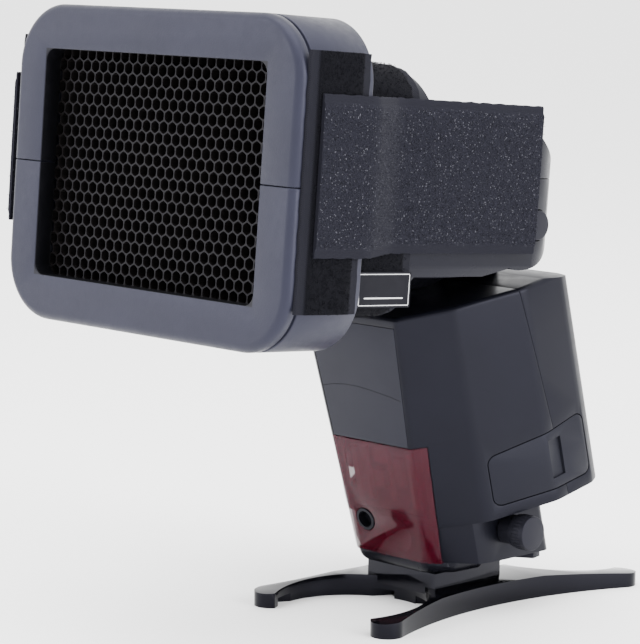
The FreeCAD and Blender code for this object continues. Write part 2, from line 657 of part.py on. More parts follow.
def build_power():
    """Battery holder with its four cells, sliding and swinging door, capacitor and board."""
    left = -25.4
    rows = (8.9, 23.1)
    shelves = (41.2, 55.8)
    places = [(y, z) for y in rows for z in shelves]
    cells = [rod(f"cell_{i}", d.cell_r - 0.05, (left, y, z), d.cell_length, "X")
             for i, (y, z) in enumerate(places)]
    holder = block("holder_form", (left + 4.0, left + 49.5), (1.0, 30.2), (33.2, 64.0))
    wells = [rod(f"well_{i}", d.cell_r + 0.1, (left - 2.0, y, z), d.cell_length + 3.0, "X")
             for i, (y, z) in enumerate(places)]
    finish("battery_holder", cut("battery_holder", holder, *wells), LEAN)
    finish("battery_cells", group("battery_cells", cells), LEAN)
    finish("capacitor", rod("capacitor", 6.4, (-22.0, 2.0, 73.0), 44.0, "X"), LEAN)
    finish("main_board", block("main_board", (25.6, 27.0), (6.0, 27.0), (48.5, 82.0)), LEAN)

    outline_points = [(1.0, d.door_low), (32.0, d.door_low), (32.0, d.door_top), (1.0, d.door_top)]
    door = skin_patch("door", side_region("door_region", -1, outline_points), 1.3)
    knuckle = rod("door_knuckle", 1.5, (*HINGE, d.door_low + 6.0), 18.0)
    eye = rod("door_eye", 0.86, (*HINGE, 0.0), 90.0)
    clear_low = block("door_clear_low", (-60.0, -20.0), (0.0, 3.6), (0.0, d.door_low + 5.7))
    clear_high = block("door_clear_high", (-60.0, -20.0), (0.0, 3.6), (d.door_low + 24.2, 90.0))
    whole = fuse("door_mass", door, knuckle)
    finish("battery_door", cut("battery_door", whole, eye, clear_low, clear_high), LEAN)
    pin = rod("carrier_pin", 0.8, (*HINGE, d.door_low + 2.0), 26.0)
    foot_low = rod("carrier_low", 1.4, (*HINGE, d.door_low + 2.0), 3.6)
    foot_high = rod("carrier_high", 1.4, (*HINGE, d.door_low + 24.4), 3.2)
    finish("door_carrier", fuse("door_carrier", pin, foot_low, foot_high), LEAN)


def build_terminals():
    """Rubber terminal cover with its sockets, and the round sync terminal with its cap."""
    flap = skin_patch("cover", cover_region("cover_outline", 0.0), float(d.cover_thick))
    slot = block("finger_slot", (34.95, 60.0), (16.2, 20.6), (33.8, 44.6))
    finish("terminal_cover", cut("terminal_cover", flap, slot), LEAN)
    body = rod("socket_body", 5.2, (25.2, SOCKET_Y, 38.5), 3.6, "X")
    pins = []
    for i, angle in enumerate((0.0, 2.1, 4.2)):
        across = SOCKET_Y + 2.8 * math.cos(angle)
        above = 38.5 + 2.8 * math.sin(angle)
        pins.append(rod(f"socket_way_{i}", 0.9, (26.6, across, above), 20.0, "X"))
    finish("power_socket", cut("power_socket", body, *pins), LEAN)
    nut = rod("nut_form", 4.2, (29.2, NUT_Y, 39.5), 4.6, "X")
    thread = rod("nut_thread", d.thread_r, (20.0, NUT_Y, 39.5), 30.0, "X")
    finish("bracket_nut", cut("bracket_nut", nut, thread), LEAN)
    y, z = leaning(*TERMINAL)
    finish("sync_terminal", rod("sync_terminal", 2.2, (20.0, y, z), 6.0, "X"), LEAN)
    head = rod("cap_head", 4.6, (28.6, y, z), 5.2, "X")
    rim = rod("cap_rim", 4.0, (24.4, y, z), 4.4, "X")
    throat = rod("cap_throat", 2.6, (20.0, y, z), 6.6, "X")
    finish("sync_cap", cut("sync_cap", fuse("cap_mass", head, rim), throat), LEAN)


# ---------------------------------------------------------------- swivel and tilt

def build_turret():
    """Swivel turret with a hollow shaft, its retaining ring, the tilt axle and the release."""
    y = d.turn_y
    flange = rod("turret_flange", d.boss_r, (0, y, d.turret_low), d.turret_top - d.turret_low)
    drum = rod("turret_drum", d.turret_round, (-d.turret_half, y, d.tilt_z), d.turret_half * 2.0, "X")
    foot = block("turret_foot", (-d.turret_half, d.turret_half), (y - 10.0, y + 10.0),
                 (d.turret_top - 0.5, 104.0))
    shaft = rod("turret_shaft", d.shaft_r, (0, y, 80.5), 12.0)
    bore = rod("turret_bore", 5.0, (0, y, 79.0), 30.0)
    axle_bore = rod("axle_bore", d.axle_r + 0.05, (-40.0, y, d.tilt_z), 80.0, "X")
    pocket = rod("release_pocket", 3.4, (d.turret_half - 2.6, y + 9.0, d.tilt_z), 6.0, "X")
    mass = fuse("turret_mass", flange, drum, foot, shaft)
    finish("turret", cut("turret", mass, bore, axle_bore, pocket))
    ring = rod("ring_form", 11.5, (0, y, 81.2), 1.5)
    ring_eye = rod("ring_eye", d.shaft_r + 0.02, (0, y, 79.0), 6.0)
    finish("swivel_ring", cut("swivel_ring", ring, ring_eye))
    finish("tilt_axle", rod("tilt_axle", d.axle_r, (-33.0, y, d.tilt_z), 66.0, "X"))


# ---------------------------------------------------------------- head

def head_form(name, inset):
    """The head as what three outlines share: seen from the front, the top and the side."""
    half = d.head_half - inset
    low = d.head_drop + inset
    high = d.head_top - inset
    front = -d.head_front + (inset if inset else 0.0)
    section = slab(name + "_section", [(-half, low), (half, low), (half, high), (-half, high)],
                   -20.0, d.head_front - inset, "XZ_Plane")
    length = Vector(0, 1, 0)
    section = round_edges(section, d.head_corner - inset, lambda e: runs_along(e, length))
    rear = d.head_rear - inset
    plan = slab(name + "_plan", [(-half, front), (half, front), (half, rear), (-half, rear)], 80.0, 150.0)
    upright = Vector(0, 0, 1)
    plan = round_edges(plan, d.head_round - inset, lambda e: runs_along(e, upright, lambda c: c.y > 0))
    axis = d.turn_y
    belly = d.head_low + inset
    crown = d.head_crown - inset
    side = slab(name + "_side", [
        (front, low), (axis - 43.0, low), (axis - 39.0, belly), (axis - 14.0, belly),
        (axis - 5.0, d.tilt_z - d.ear_r + 0.3 + inset), (axis + d.ear_r - inset, d.tilt_z),
        (axis + 16.0 - inset, 121.0), (axis + 2.0, crown - 2.6), (5.0 - d.head_step, crown),
        (-d.head_step - inset, high), (front, high)], -60.0, 60.0, "YZ_Plane")
    ear = rod(name + "_ear", d.ear_r - inset, (-60.0, axis, d.tilt_z), 120.0, "X")
    return common(name, section, plan, fuse(name + "_profile", side, ear))


def build_head():
    """Two head shells round the neck slot, with the lamp, zoom drive and pull-out panels."""
    y = d.turn_y
    outer = head_form("head_outer", 0.0)
    cavity = head_form("head_inner", 2.0)
    slot_r = d.turret_round + 0.35
    back = 30.0
    slots = [rod("slot_round", slot_r, (-d.slot_half, y, d.tilt_z), d.slot_half * 2.0, "X"),
             block("slot_under", (-d.slot_half, d.slot_half), (y - 26.0, back), (80.0, d.tilt_z)),
             block("slot_back", (-d.slot_half, d.slot_half), (y, back), (80.0, d.tilt_z + slot_r))]
    slot = fuse("neck_slot", *slots)
    wide = d.slot_half + 1.6
    lining = fuse("neck_lining",
                  rod("lining_round", slot_r + 1.6, (-wide, y, d.tilt_z), wide * 2.0, "X"),
                  block("lining_under", (-wide, wide), (y - 27.6, back), (80.0, d.tilt_z)),
                  block("lining_back", (-wide, wide), (y, back), (80.0, d.tilt_z + slot_r + 1.6)))
    cavity = cut("head_cavity", cavity, lining)
    front_room = block("head_mouth", (-34.0, 34.0), (-95.0, -80.0), (91.0, 137.4))
    panel_slot = block("panel_slot", (-30.6, 30.6), (-95.0, -80.0), (137.9, 140.9))
    axle_room = rod("head_axle_room", d.axle_r + 0.02, (-34.2, y, d.tilt_z), 68.4, "X")
    walls = cut("head_shell_form", outer, cavity, slot, front_room, panel_slot)
    sockets = []
    for side in (-1, 1):
        start = -34.0 if side < 0 else float(wide) - 0.2
        sockets.append(rod(f"axle_socket_{side + 1}", 6.0, (start, y, d.tilt_z), 34.2 - float(wide), "X"))
    shell = cut("head_shell_full", fuse("head_shell_ears", walls, *sockets), axle_room)
    release_hole = rod("release_hole", 4.2, (28.0, y + 6.0, 106.0), 20.0, "X")
    below = block("head_below", (-60.0, 60.0), (-100.0, 40.0), (70.0, d.head_split))
    above = block("head_above", (-60.0, 60.0), (-100.0, 40.0), (d.head_split + 0.12, 160.0))
    lower = cut("head_lower_shell", common("head_low_form", shell, below), release_hole)
    finish("head_lower_shell", lower, HEAD)
    finish("head_upper_shell", common("head_upper_shell", shell, above), HEAD)
    finish("tilt_release", rod("tilt_release", 3.9, (33.2, y + 6.0, 106.0), 5.2, "X"), HEAD)

    finish("fresnel_lens", block("fresnel_lens", (-33.7, 33.7), (-85.6, -83.2), (91.3, 137.1)), HEAD)
    build_lamp()
    finish("wide_panel", block("wide_panel", (-30.0, 30.0), (-85.2, -54.6), (139.7, 140.7)), HEAD)
    finish("catchlight_panel", block("catchlight_panel", (-30.0, 30.0), (-85.2, -54.6), (138.2, 139.2)), HEAD)
    finish("tube_board", block("tube_board", (-30.0, 24.0), (-43.0, -30.5), (126.6, 128.2)), HEAD)


def build_lamp():
    """Reflector, flash tube and carriage that slide together on a lead screw."""
    front, depth = -81.0, 20.0
    rear = front + depth
    middle = 114.5
    form = doc.addObject("Part::Wedge", "reflector_form")
    form.Xmin, form.Xmax, form.Zmin, form.Zmax = -28.0, 28.0, 97.0, 132.0
    form.Ymin, form.Ymax = front, rear
    form.X2min, form.X2max, form.Z2min, form.Z2max = -24.0, 24.0, 106.0, 123.0
    hollow = doc.addObject("Part::Wedge", "reflector_hollow")
    hollow.Xmin, hollow.Xmax, hollow.Zmin, hollow.Zmax = -27.0, 27.0, 98.2, 130.8
    hollow.Ymin, hollow.Ymax = front - 0.5, rear - 1.2
    hollow.X2min, hollow.X2max, hollow.Z2min, hollow.Z2max = -23.0, 23.0, 107.2, 121.8
    tube_room = rod("tube_room", 2.3, (-40.0, rear - 5.0, middle), 80.0, "X")
    finish("reflector", cut("reflector", form, hollow, tube_room), HEAD)
    finish("flash_tube", rod("flash_tube", 2.2, (-27.0, rear - 5.0, middle), 54.0, "X"), HEAD)
    plate = block("carriage_plate", (-30.0, 31.5), (rear, rear + 2.4), (97.0, 130.4))
    screw_x, screw_z = 28.6, 102.0
    screw_hole = rod("carriage_nut", d.screw_r + 0.06, (screw_x, -99.0, screw_z), 90.0, "Y")
    finish("zoom_carriage", cut("zoom_carriage", plate, screw_hole), HEAD)
    screw_end = rear + 2.4 + d.zoom_travel + 1.6
    finish("lead_screw", rod("lead_screw", d.screw_r, (screw_x, rear - 1.0, screw_z),
                             screw_end - rear + 1.0, "Y"), HEAD)
    finish("zoom_motor", rod("zoom_motor", 4.6, (screw_x, float(screw_end) + 0.3, screw_z), 9.0, "Y"), HEAD)


# ---------------------------------------------------------------- grid, straps and band

def grid_form(name, inset, low, high):
    half = d.grid_half - inset
    tall = d.grid_tall - inset
    body = slab(name, [(-half, -tall), (half, -tall), (half, tall), (-half, tall)], -high, -low, "XZ_Plane")
    return round_edges(body, d.grid_round - inset, lambda e: runs_along(e, Vector(0, 1, 0)))


def build_grid():
    """Two-part frame round a honeycomb core, with a loop pad on each side."""
    border = d.grid_border
    open_x = d.grid_half - border
    open_z = d.grid_tall - border
    seat_x = open_x + d.core_seat
    seat_z = open_z + d.core_seat
    core_rear = d.core_front + d.core_deep
    form = grid_form("grid_skin", 0.0, 0.0, d.grid_deep)
    form = round_edges(form, 2.2, lambda e: e.BoundBox.YMax < 0.01)
    mouth = slab("grid_mouth", [(-open_x, -open_z), (open_x, -open_z), (open_x, open_z), (-open_x, open_z)],
                 -20.0, 1.0, "XZ_Plane")
    mouth = round_edges(mouth, 3.0, lambda e: runs_along(e, Vector(0, 1, 0)))
    seat = block("grid_seat", (-seat_x, seat_x), (d.core_front, d.grid_deep + 1.0), (-seat_z, seat_z))
    groove = cut("bezel_groove", grid_form("groove_outer", -2.0, 3.7, 4.6),
                 grid_form("groove_inner", 0.8, 3.6, 4.7))
    frame = cut("grid_frame", form, mouth, seat, groove)
    for label, span in (("grid_frame_upper", (0.08, 60.0)), ("grid_frame_lower", (-60.0, -0.08))):
        finish(label, common(label, frame, block(label + "_half", (-60.0, 60.0), (-5.0, 40.0), span)), GRID)
    honeycomb(seat_x - 0.1, seat_z - 0.1, core_rear)
    pads = []
    for side in (-1, 1):
        faces = sorted((side * (d.grid_half + 0.03), side * (d.grid_half + d.pad_thick)), key=float)
        pads.append(block(f"pad_{side + 1}", faces, (2.2, 2.2 + d.pad_wide),
                          (d.pad_mid - d.pad_tall * 0.5, d.pad_mid + d.pad_tall * 0.5)))
    finish("loop_pads", group("loop_pads", pads), GRID)
    near = d.grid_half + d.pad_thick + 0.1
    inner = d.head_half + d.band_thick + 0.15
    for label, side, start, lift in (("hook_strap_right", 1, 6.0, 0.0), ("hook_strap_left", -1, 2.0, 0.8)):
        face = [(near + lift, start), (near, d.grid_deep), (inner, d.grid_deep + 21.0), (inner, 101.0)]
        back = [(x + d.strap_thick, y + 0.3) for x, y in reversed(face)]
        points = [(side * x, y) for x, y in face + back]
        finish(label, slab(label, points, d.strap_mid - d.strap_wide * 0.5,
                           d.strap_mid + d.strap_wide * 0.5), GRID)


def honeycomb(half_x, half_z, rear):
    """A plate pierced by rows of upright hexagons, staggered row by row."""
    pitch = float(d.cell_pitch)
    row_step = pitch * math.sqrt(3) / 2
    reach = (pitch - float(d.cell_web)) / math.sqrt(3)
    rows = int((float(half_z) - reach) / row_step)
    front = float(d.core_front)
    depth = float(rear) - front
    wires = [Part.makePolygon([Vector(x, front, z) for x, z in
                               ((-half_x, -half_z), (half_x, -half_z), (half_x, half_z),
                                (-half_x, half_z), (-half_x, -half_z))])]
    turns = [math.radians(30 + 60 * k) for k in range(6)]
    hexagon = [(reach * math.cos(turn), reach * math.sin(turn)) for turn in turns]
    for row in range(-rows, rows + 1):
        shift = 0.5 * pitch * (row % 2)
        columns = int((float(half_x) - reach - shift) / pitch)
        for column in range(-columns - (row % 2), columns + 1):
            x = column * pitch + shift
            z = row * row_step
            corners = [Vector(x + dx, front, z + dz) for dx, dz in hexagon]
            wires.append(Part.makePolygon(corners + corners[:1]))
    face = Part.Face(wires, "Part::FaceMakerBullseye")
    core = doc.addObject("Part::Feature", "honeycomb_core")
    core.Shape = face.extrude(Vector(0, depth, 0))
    finish("honeycomb_core", core, GRID)


def build_band():
    """Loop band round the head, loose underneath, with a small blank label."""
    front = d.band_front
    rear = d.band_front - d.band_wide
    length = Vector(0, 1, 0)

    def ring(name, clear, sag, radius, low, high):
        half = d.head_half + clear
        body = slab(name, [(-half, d.head_drop - clear - sag), (half, d.head_drop - clear - sag),
                           (half, d.head_top + clear), (-half, d.head_top + clear)], low, high, "XZ_Plane")
        return round_edges(body, radius, lambda e: runs_along(e, length))
    outside = ring("band_outside", d.band_thick + 0.04, 3.0, 10.3, rear, front)
    inside = ring("band_inside", 0.04, 3.0, 8.9, rear - 1.0, front + 1.0)
    finish("loop_band", cut("loop_band", outside, inside), HEAD)
    x = d.head_half + d.band_thick + 0.08
    finish("blank_label", block("blank_label", (x, x + 0.4), (-71.0, -52.4), (85.4, 94.2)), HEAD)


build_stand()
build_foot()
build_body()
build_controls()
build_power()
build_terminals()
build_turret()
build_head()
build_grid()
build_band()
doc.recompute()

broken = [thing.Name for thing in doc.Objects if {"Invalid", "Error"} & set(thing.State)]
if broken:
    raise RuntimeError(f"these objects did not build: {broken}")
os.makedirs("parts", exist_ok=True)
for node in NODES:
    if node.Shape.isNull() or not node.Shape.isValid():
        raise RuntimeError(f"{node.Label} has no valid shape")
    node.Shape.exportStep(f"parts/{node.Label}.step")
    box = node.Shape.optimalBoundingBox(False)
    spans = ((box.XMin, box.XMax), (box.YMin, box.YMax), (box.ZMin, box.ZMax))
    extent = "  ".join(f"{low:6.1f} {high:6.1f}" for low, high in spans)
    print(f"{node.Label:20s} {len(node.Shape.Solids):3d} solids {node.Shape.Volume:10.1f} mm3  {extent}")
print(len(NODES), "nodes")
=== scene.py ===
# %% [markdown]
# # A shoe-mount flash with a honeycomb grid, on a mini stand
# The CAD model gives every size and every moving body.  This lesson loads it as a fixed
# frame and dresses it: shells get rounded edges, tapes get a weave and a pile, the grid gets
# its cells, and every surface gets a finish made from nodes.  All lengths are metres, so a
# millimetre is written as 0.001 and the helper values below are given in millimetres.

# %% Load the frame
import json
import math
import bmesh
import bpy
from mathutils import Matrix, Vector

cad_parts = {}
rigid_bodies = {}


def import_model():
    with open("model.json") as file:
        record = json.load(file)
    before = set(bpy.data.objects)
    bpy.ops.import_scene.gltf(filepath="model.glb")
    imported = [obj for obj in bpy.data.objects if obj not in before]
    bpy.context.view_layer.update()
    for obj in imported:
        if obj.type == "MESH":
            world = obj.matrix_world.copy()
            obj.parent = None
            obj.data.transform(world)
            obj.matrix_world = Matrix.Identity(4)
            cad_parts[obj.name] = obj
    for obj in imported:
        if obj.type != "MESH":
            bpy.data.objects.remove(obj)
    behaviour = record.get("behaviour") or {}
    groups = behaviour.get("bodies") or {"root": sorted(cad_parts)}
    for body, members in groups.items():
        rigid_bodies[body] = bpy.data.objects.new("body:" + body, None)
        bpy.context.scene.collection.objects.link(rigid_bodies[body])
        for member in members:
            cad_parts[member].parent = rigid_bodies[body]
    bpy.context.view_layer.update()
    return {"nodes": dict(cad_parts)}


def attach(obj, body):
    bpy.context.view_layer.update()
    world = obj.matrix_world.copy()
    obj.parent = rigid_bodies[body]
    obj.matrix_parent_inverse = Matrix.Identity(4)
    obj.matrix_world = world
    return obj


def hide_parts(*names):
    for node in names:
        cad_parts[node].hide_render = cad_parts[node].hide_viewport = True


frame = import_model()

MM = 0.001
nodes = frame["nodes"]

# %% [markdown]
# ## Camera
# The camera stands in front and to one side of the flash, slightly above it, with a long
# lens.  It is described by where it looks from (azimuth and elevation), how far away it is,
# and where the origin lands in a 640 by 644 frame.

# %% Camera
FRAME_W, FRAME_H = 640, 644
CAMERA = {"azimuth": 45.5, "elevation": 8.19, "roll": 0.6, "focal": 2727.0,
          "distance": 751.0, "origin_at": (436.0, 594.0)}


def place_camera(azimuth, elevation, roll, focal, distance, origin_at):
    a, e, r = (math.radians(v) for v in (azimuth, elevation, roll))
    back = Vector((math.sin(a) * math.cos(e), -math.cos(a) * math.cos(e), math.sin(e)))
    level = (-back).cross(Vector((0, 0, 1))).normalized()
    up = level.cross(-back)
    right = level * math.cos(r) + up * math.sin(r)
    tilted_up = up * math.cos(r) - level * math.sin(r)
    across = (origin_at[0] - FRAME_W / 2) / focal * distance
    above = (FRAME_H / 2 - origin_at[1]) / focal * distance
    place = (back * distance - right * across - tilted_up * above) * MM
    data = bpy.data.cameras.new("camera")
    data.sensor_width = 36.0
    data.lens = focal / max(FRAME_W, FRAME_H) * 36.0
    data.clip_start, data.clip_end = 0.01, 20.0
    camera = bpy.data.objects.new("camera", data)
    turn = Matrix((right, tilted_up, back)).transposed()
    camera.matrix_world = Matrix.Translation(place) @ turn.to_4x4()
    bpy.context.scene.collection.objects.link(camera)
    bpy.context.scene.camera = camera


place_camera(**CAMERA)
print("camera", CAMERA["distance"], "mm away")

# %% [markdown]
# ## Floor and light
# Small black products are lit with large soft boxes: what shows of a black shell is mostly
# the reflection of a bright panel.  A white room, a big overhead light and a low side light
# give the long pale reflections that describe the facets.

# %% Floor and light
FLOOR_HALF, FLOOR_TONE, FLOOR_ROUGHNESS = 6.0, 0.96, 0.6
ROOM_STRENGTH = 3.0
SOFT_BOXES = [      # name, place, what it faces, width and height in metres, power in watts
    ("overhead", (0.1, -0.2, 1.1), (0, 0, 0.08), (1.2, 1.0), 22.0),
    ("front_left", (-0.7, -1.0, 0.55), (0, 0, 0.1), (0.5, 0.9), 9.0),
    ("right_side", (1.1, 0.1, 0.4), (0, 0, 0.08), (0.4, 0.8), 16.0),
]


def stage_floor(half):
    mesh = bpy.data.meshes.new("floor")
    mesh.from_pydata([(-half, -half, 0), (half, -half, 0), (half, half, 0), (-half, half, 0)],
                     [], [(0, 1, 2, 3)])
    floor = bpy.data.objects.new("floor", mesh)
    floor_material = bpy.data.materials.new("pale floor")
    floor_material.use_nodes = True
    shader = floor_material.node_tree.nodes["Principled BSDF"]
    shader.inputs["Base Color"].default_value = (FLOOR_TONE, FLOOR_TONE, FLOOR_TONE, 1)
    shader.inputs["Roughness"].default_value = FLOOR_ROUGHNESS
    mesh.materials.append(floor_material)
    bpy.context.scene.collection.objects.link(floor)


def soft_box(name, place, target, size, power):
    data = bpy.data.lights.new(name, "AREA")
    data.shape, data.size, data.size_y = "RECTANGLE", size[0], size[1]
    data.energy = power
    light = bpy.data.objects.new(name, data)
    light.location = place
    light.rotation_euler = (Vector(target) - Vector(place)).to_track_quat("-Z", "Y").to_euler()
    bpy.context.scene.collection.objects.link(light)


stage_floor(FLOOR_HALF)
world = bpy.data.worlds.new("white room")
world.use_nodes = True
world.node_tree.nodes["Background"].inputs["Color"].default_value = (1.0, 1.0, 1.0, 1)
world.node_tree.nodes["Background"].inputs["Strength"].default_value = ROOM_STRENGTH
bpy.context.scene.world = world
for soft_box_row in SOFT_BOXES:
    soft_box(*soft_box_row)
print(len(SOFT_BOXES), "soft boxes in a white room")

# %% [markdown]
# ## Turning places
# Parts of the flash are drawn upright and then leaned or tipped.  These three helpers do the
# same turns, from millimetres in a part's own frame to metres in the whole.

# %% Places
LEAN, TIP = math.radians(14.5), math.radians(4.45)
AXLE = Vector((0, -10.0, 111.0))
GRID_FACE = Vector((0, -106.3, 114.7))


def turned(x, y, z, angle):
    c, s = math.cos(angle), math.sin(angle)
    return Vector((x, y * c - z * s, y * s + z * c))


def on_body(x, y, z):
    return turned(x, y, z, LEAN) * MM


def on_head(x, y, z):
    return (turned(x, y - AXLE.y, z - AXLE.z, -TIP) + AXLE) * MM


def on_grid(x, y, z):
    return on_head(x, y + GRID_FACE.y, z + GRID_FACE.z)


def in_row(x, y, z):
    return Vector((x, y, z)) * MM


# %% [markdown]
# ## Finishes
# Each finish is one Principled shader with a little geometry of its own: noise for the
# moulded grain, waves for ribs, spots for hooks.  Patterns read Object coordinates, so a
# grain of 0.3 mm is 0.3 mm on every piece.  Tapes use their own UV map, in centimetres, so
# that the weave follows the strap round its bends.

# %% Node helpers
PER_METRE = 1000.0


class Finish:
    """A material that is built node by node round one Principled shader."""

    def __init__(self, name, color, roughness, **sockets):
        self.material = bpy.data.materials.new(name)
        self.material.use_nodes = True
        self.tree = self.material.node_tree
        self.shader = self.tree.nodes["Principled BSDF"]
        self.shader.inputs["Base Color"].default_value = (*color, 1)
        self.shader.inputs["Roughness"].default_value = roughness
        for socket, value in sockets.items():
            self.shader.inputs[socket.replace("_", " ")].default_value = value
        self.color = color
        self.bumps = []

    def node(self, kind, settings=(), **inputs):
        made = self.tree.nodes.new(kind)
        for key, value in dict(settings).items():
            setattr(made, key, value)
        for socket, value in inputs.items():
            self.set(made, socket.replace("_", " "), value)
        return made

    def set(self, made, socket, value):
        by_index = socket[0] == "i" and socket[1:].isdigit()
        target = made.inputs[int(socket[1:])] if by_index else made.inputs[socket]
        if isinstance(value, bpy.types.NodeSocket):
            self.tree.links.new(value, target)
        else:
            target.default_value = value

    def coordinates(self, kind="Object"):
        return self.node("ShaderNodeTexCoord").outputs[kind]

    def noise(self, size_mm, detail=2.0, vector=None):
        """Noise whose lumps are about this many millimetres across."""
        vector = vector or self.coordinates()
        made = self.node("ShaderNodeTexNoise", Vector=vector, Scale=PER_METRE / size_mm, Detail=detail)
        return made.outputs["Fac"]

    def math(self, operation, a, b=0.0, c=0.0):
        made = self.node("ShaderNodeMath", {"operation": operation})
        for index, value in enumerate((a, b, c)):
            self.set(made, f"i{index}", value)
        return made.outputs[0]

    def ramp(self, value, low, high, out_low=0.0, out_high=1.0):
        made = self.node("ShaderNodeMapRange", Value=value)
        for index, number in enumerate((low, high, out_low, out_high), start=1):
            made.inputs[index].default_value = number
        return made.outputs[0]

    def mix(self, factor, a, b):
        made = self.node("ShaderNodeMix", {"data_type": "RGBA"})
        self.set(made, "i0", factor)
        self.set(made, "i6", a if isinstance(a, bpy.types.NodeSocket) else (*a, 1))
        self.set(made, "i7", b if isinstance(b, bpy.types.NodeSocket) else (*b, 1))
        return made.outputs[2]

    def paint(self, color):
        self.tree.links.new(color, self.shader.inputs["Base Color"])

    def rough(self, value):
        self.tree.links.new(value, self.shader.inputs["Roughness"])

    def bump(self, height, depth_mm, strength=1.0):
        made = self.node("ShaderNodeBump", Height=height, Strength=strength, Distance=depth_mm * MM)
        if self.bumps:
            self.tree.links.new(self.bumps[-1], made.inputs["Normal"])
        self.bumps.append(made.outputs["Normal"])
        self.tree.links.new(made.outputs["Normal"], self.shader.inputs["Normal"])


def lighter(color, factor):
    return tuple(min(1.0, c * factor) for c in color)


def moulded(name, color, roughness, grain_mm=0.35, depth_mm=0.012, variation=0.12, **sockets):
    """Injection-moulded plastic: a fine grain, faint mottling and slightly uneven gloss."""
    f = Finish(name, color, roughness, **sockets)
    grain = f.noise(grain_mm, 3.0)
    broad = f.noise(18.0, 2.0)
    f.paint(f.mix(f.ramp(broad, 0.3, 0.7), lighter(color, 1 - variation), lighter(color, 1 + variation)))
    f.rough(f.ramp(f.noise(3.0, 4.0), 0.3, 0.7, roughness - 0.04, roughness + 0.05))
    f.bump(grain, depth_mm)
    return f.material


def brushed(name, color, roughness, **sockets):
    """Metal with fine lines from machining along one direction."""
    f = Finish(name, color, roughness, Metallic=1.0, **sockets)
    stretch = f.node("ShaderNodeMapping", Vector=f.coordinates())
    stretch.inputs["Scale"].default_value = (6.0, 1.0, 1.0)
    lines = f.noise(0.25, 3.0, stretch.outputs[0])
    f.rough(f.ramp(lines, 0.3, 0.7, roughness - 0.08, roughness + 0.1))
    f.bump(lines, 0.003)
    return f.material


def clear(name, color, roughness, alpha, **sockets):
    """Clear or tinted plastic, mostly see-through, with a polished skin."""
    f = Finish(name, color, roughness, Alpha=alpha, **sockets)
    f.bump(f.noise(7.0, 1.0), 0.02)
    return f.material


# %% [markdown]
# Black plastics differ mostly in how rough and how cool their reflections are, so they share
# one low reflectance with a faint blue tint.  The window and the lens are see-through.

# %% Plastics, metals and clear parts
COOL = (0.80, 0.80, 1.0, 1.0)
SATIN = {"Specular_IOR_Level": 0.12, "Specular_Tint": COOL}
BODY = (0.0028, 0.0029, 0.0047)
finishes = {
    "body": moulded("satin black shell", BODY, 0.34, 0.28, 0.006, **SATIN),
    "body_fine": moulded("smooth black shell", (0.0035, 0.0035, 0.005), 0.24, 0.25, 0.002, **SATIN),
    "head_shell": moulded("satin black head shell", BODY, 0.30, 0.26, 0.005, **SATIN),
    # The name panel's grey, lighter than the shell, is a painted highlight of the front face.
    "panel": moulded("satin name panel with painted highlight", (0.0092, 0.0095, 0.0138), 0.38, 0.26, 0.006, **SATIN),
    "stand": moulded("polished black stand", (0.0012, 0.0012, 0.0018), 0.10, 1.2, 0.002, 0.05,
                     Specular_IOR_Level=0.14, Specular_Tint=COOL),
    "gloss": moulded("polished black plastic", (0.002, 0.002, 0.003), 0.10, 1.2, 0.001, 0.05, **SATIN),
    "honeycomb": moulded("dark cell walls", (0.0036, 0.0030, 0.0028), 0.5, 0.5, 0.004, **SATIN),
    "button": moulded("soft button", (0.006, 0.006, 0.0085), 0.46, 0.3, 0.005, **SATIN),
    "test_red": moulded("test button cap", (0.07, 0.006, 0.006), 0.4, 0.3, 0.004, **SATIN),
    "cover": moulded("rubber cover", (0.0046, 0.0048, 0.0070), 0.42, 0.3, 0.006, **SATIN),
    "inner": moulded("inner plastic", (0.012, 0.012, 0.014), 0.5, **SATIN),
    "lamp": moulded("lamp block plastic", (0.045, 0.012, 0.015), 0.45, **SATIN),
    # Pale red for the lamp facets: a painted highlight where the clear facets catch the light.
    "lamp_facet_highlight": moulded("lamp facets painted with highlights", (0.30, 0.030, 0.045), 0.35, 0.5, 0.01),
    "dial": moulded("dial plastic", (0.006, 0.006, 0.0085), 0.32, **SATIN),
    "steel": brushed("machined steel", (0.50, 0.50, 0.53), 0.32),
    "foot": brushed("brushed foot plate", (0.50, 0.50, 0.54), 0.35),
    "brass": brushed("plated contact", (0.80, 0.62, 0.30), 0.30),
    "bright": brushed("polished reflector", (0.88, 0.88, 0.90), 0.12),
    "sleeve": moulded("cell sleeve", (0.22, 0.23, 0.26), 0.35),
    "board": moulded("circuit board", (0.02, 0.11, 0.05), 0.4, 0.6, 0.01),
    "white": moulded("white bounce card", (0.70, 0.70, 0.69), 0.35),
    "display": moulded("display glass", (0.040, 0.046, 0.040), 0.12, 0.4, 0.001),
    "red": clear("dark red window", (0.030, 0.0006, 0.004), 0.07, 0.66, Specular_IOR_Level=0.24,
                 Specular_Tint=(1.0, 0.78, 0.92, 1.0)),
    "clear": clear("clear window", (0.35, 0.37, 0.38), 0.06, 0.28),
    "dome": clear("dark dome lens", (0.004, 0.001, 0.002), 0.05, 1.0, Coat_Weight=0.4),
    "crease": moulded("dark crease", (0.002, 0.002, 0.003), 0.6, **SATIN),
    "label": moulded("woven black label", (0.003, 0.003, 0.004), 0.7, 0.3, 0.02, **SATIN),
    "thread": moulded("pale thread", (0.55, 0.55, 0.56), 0.7, 0.3, 0.01),
}


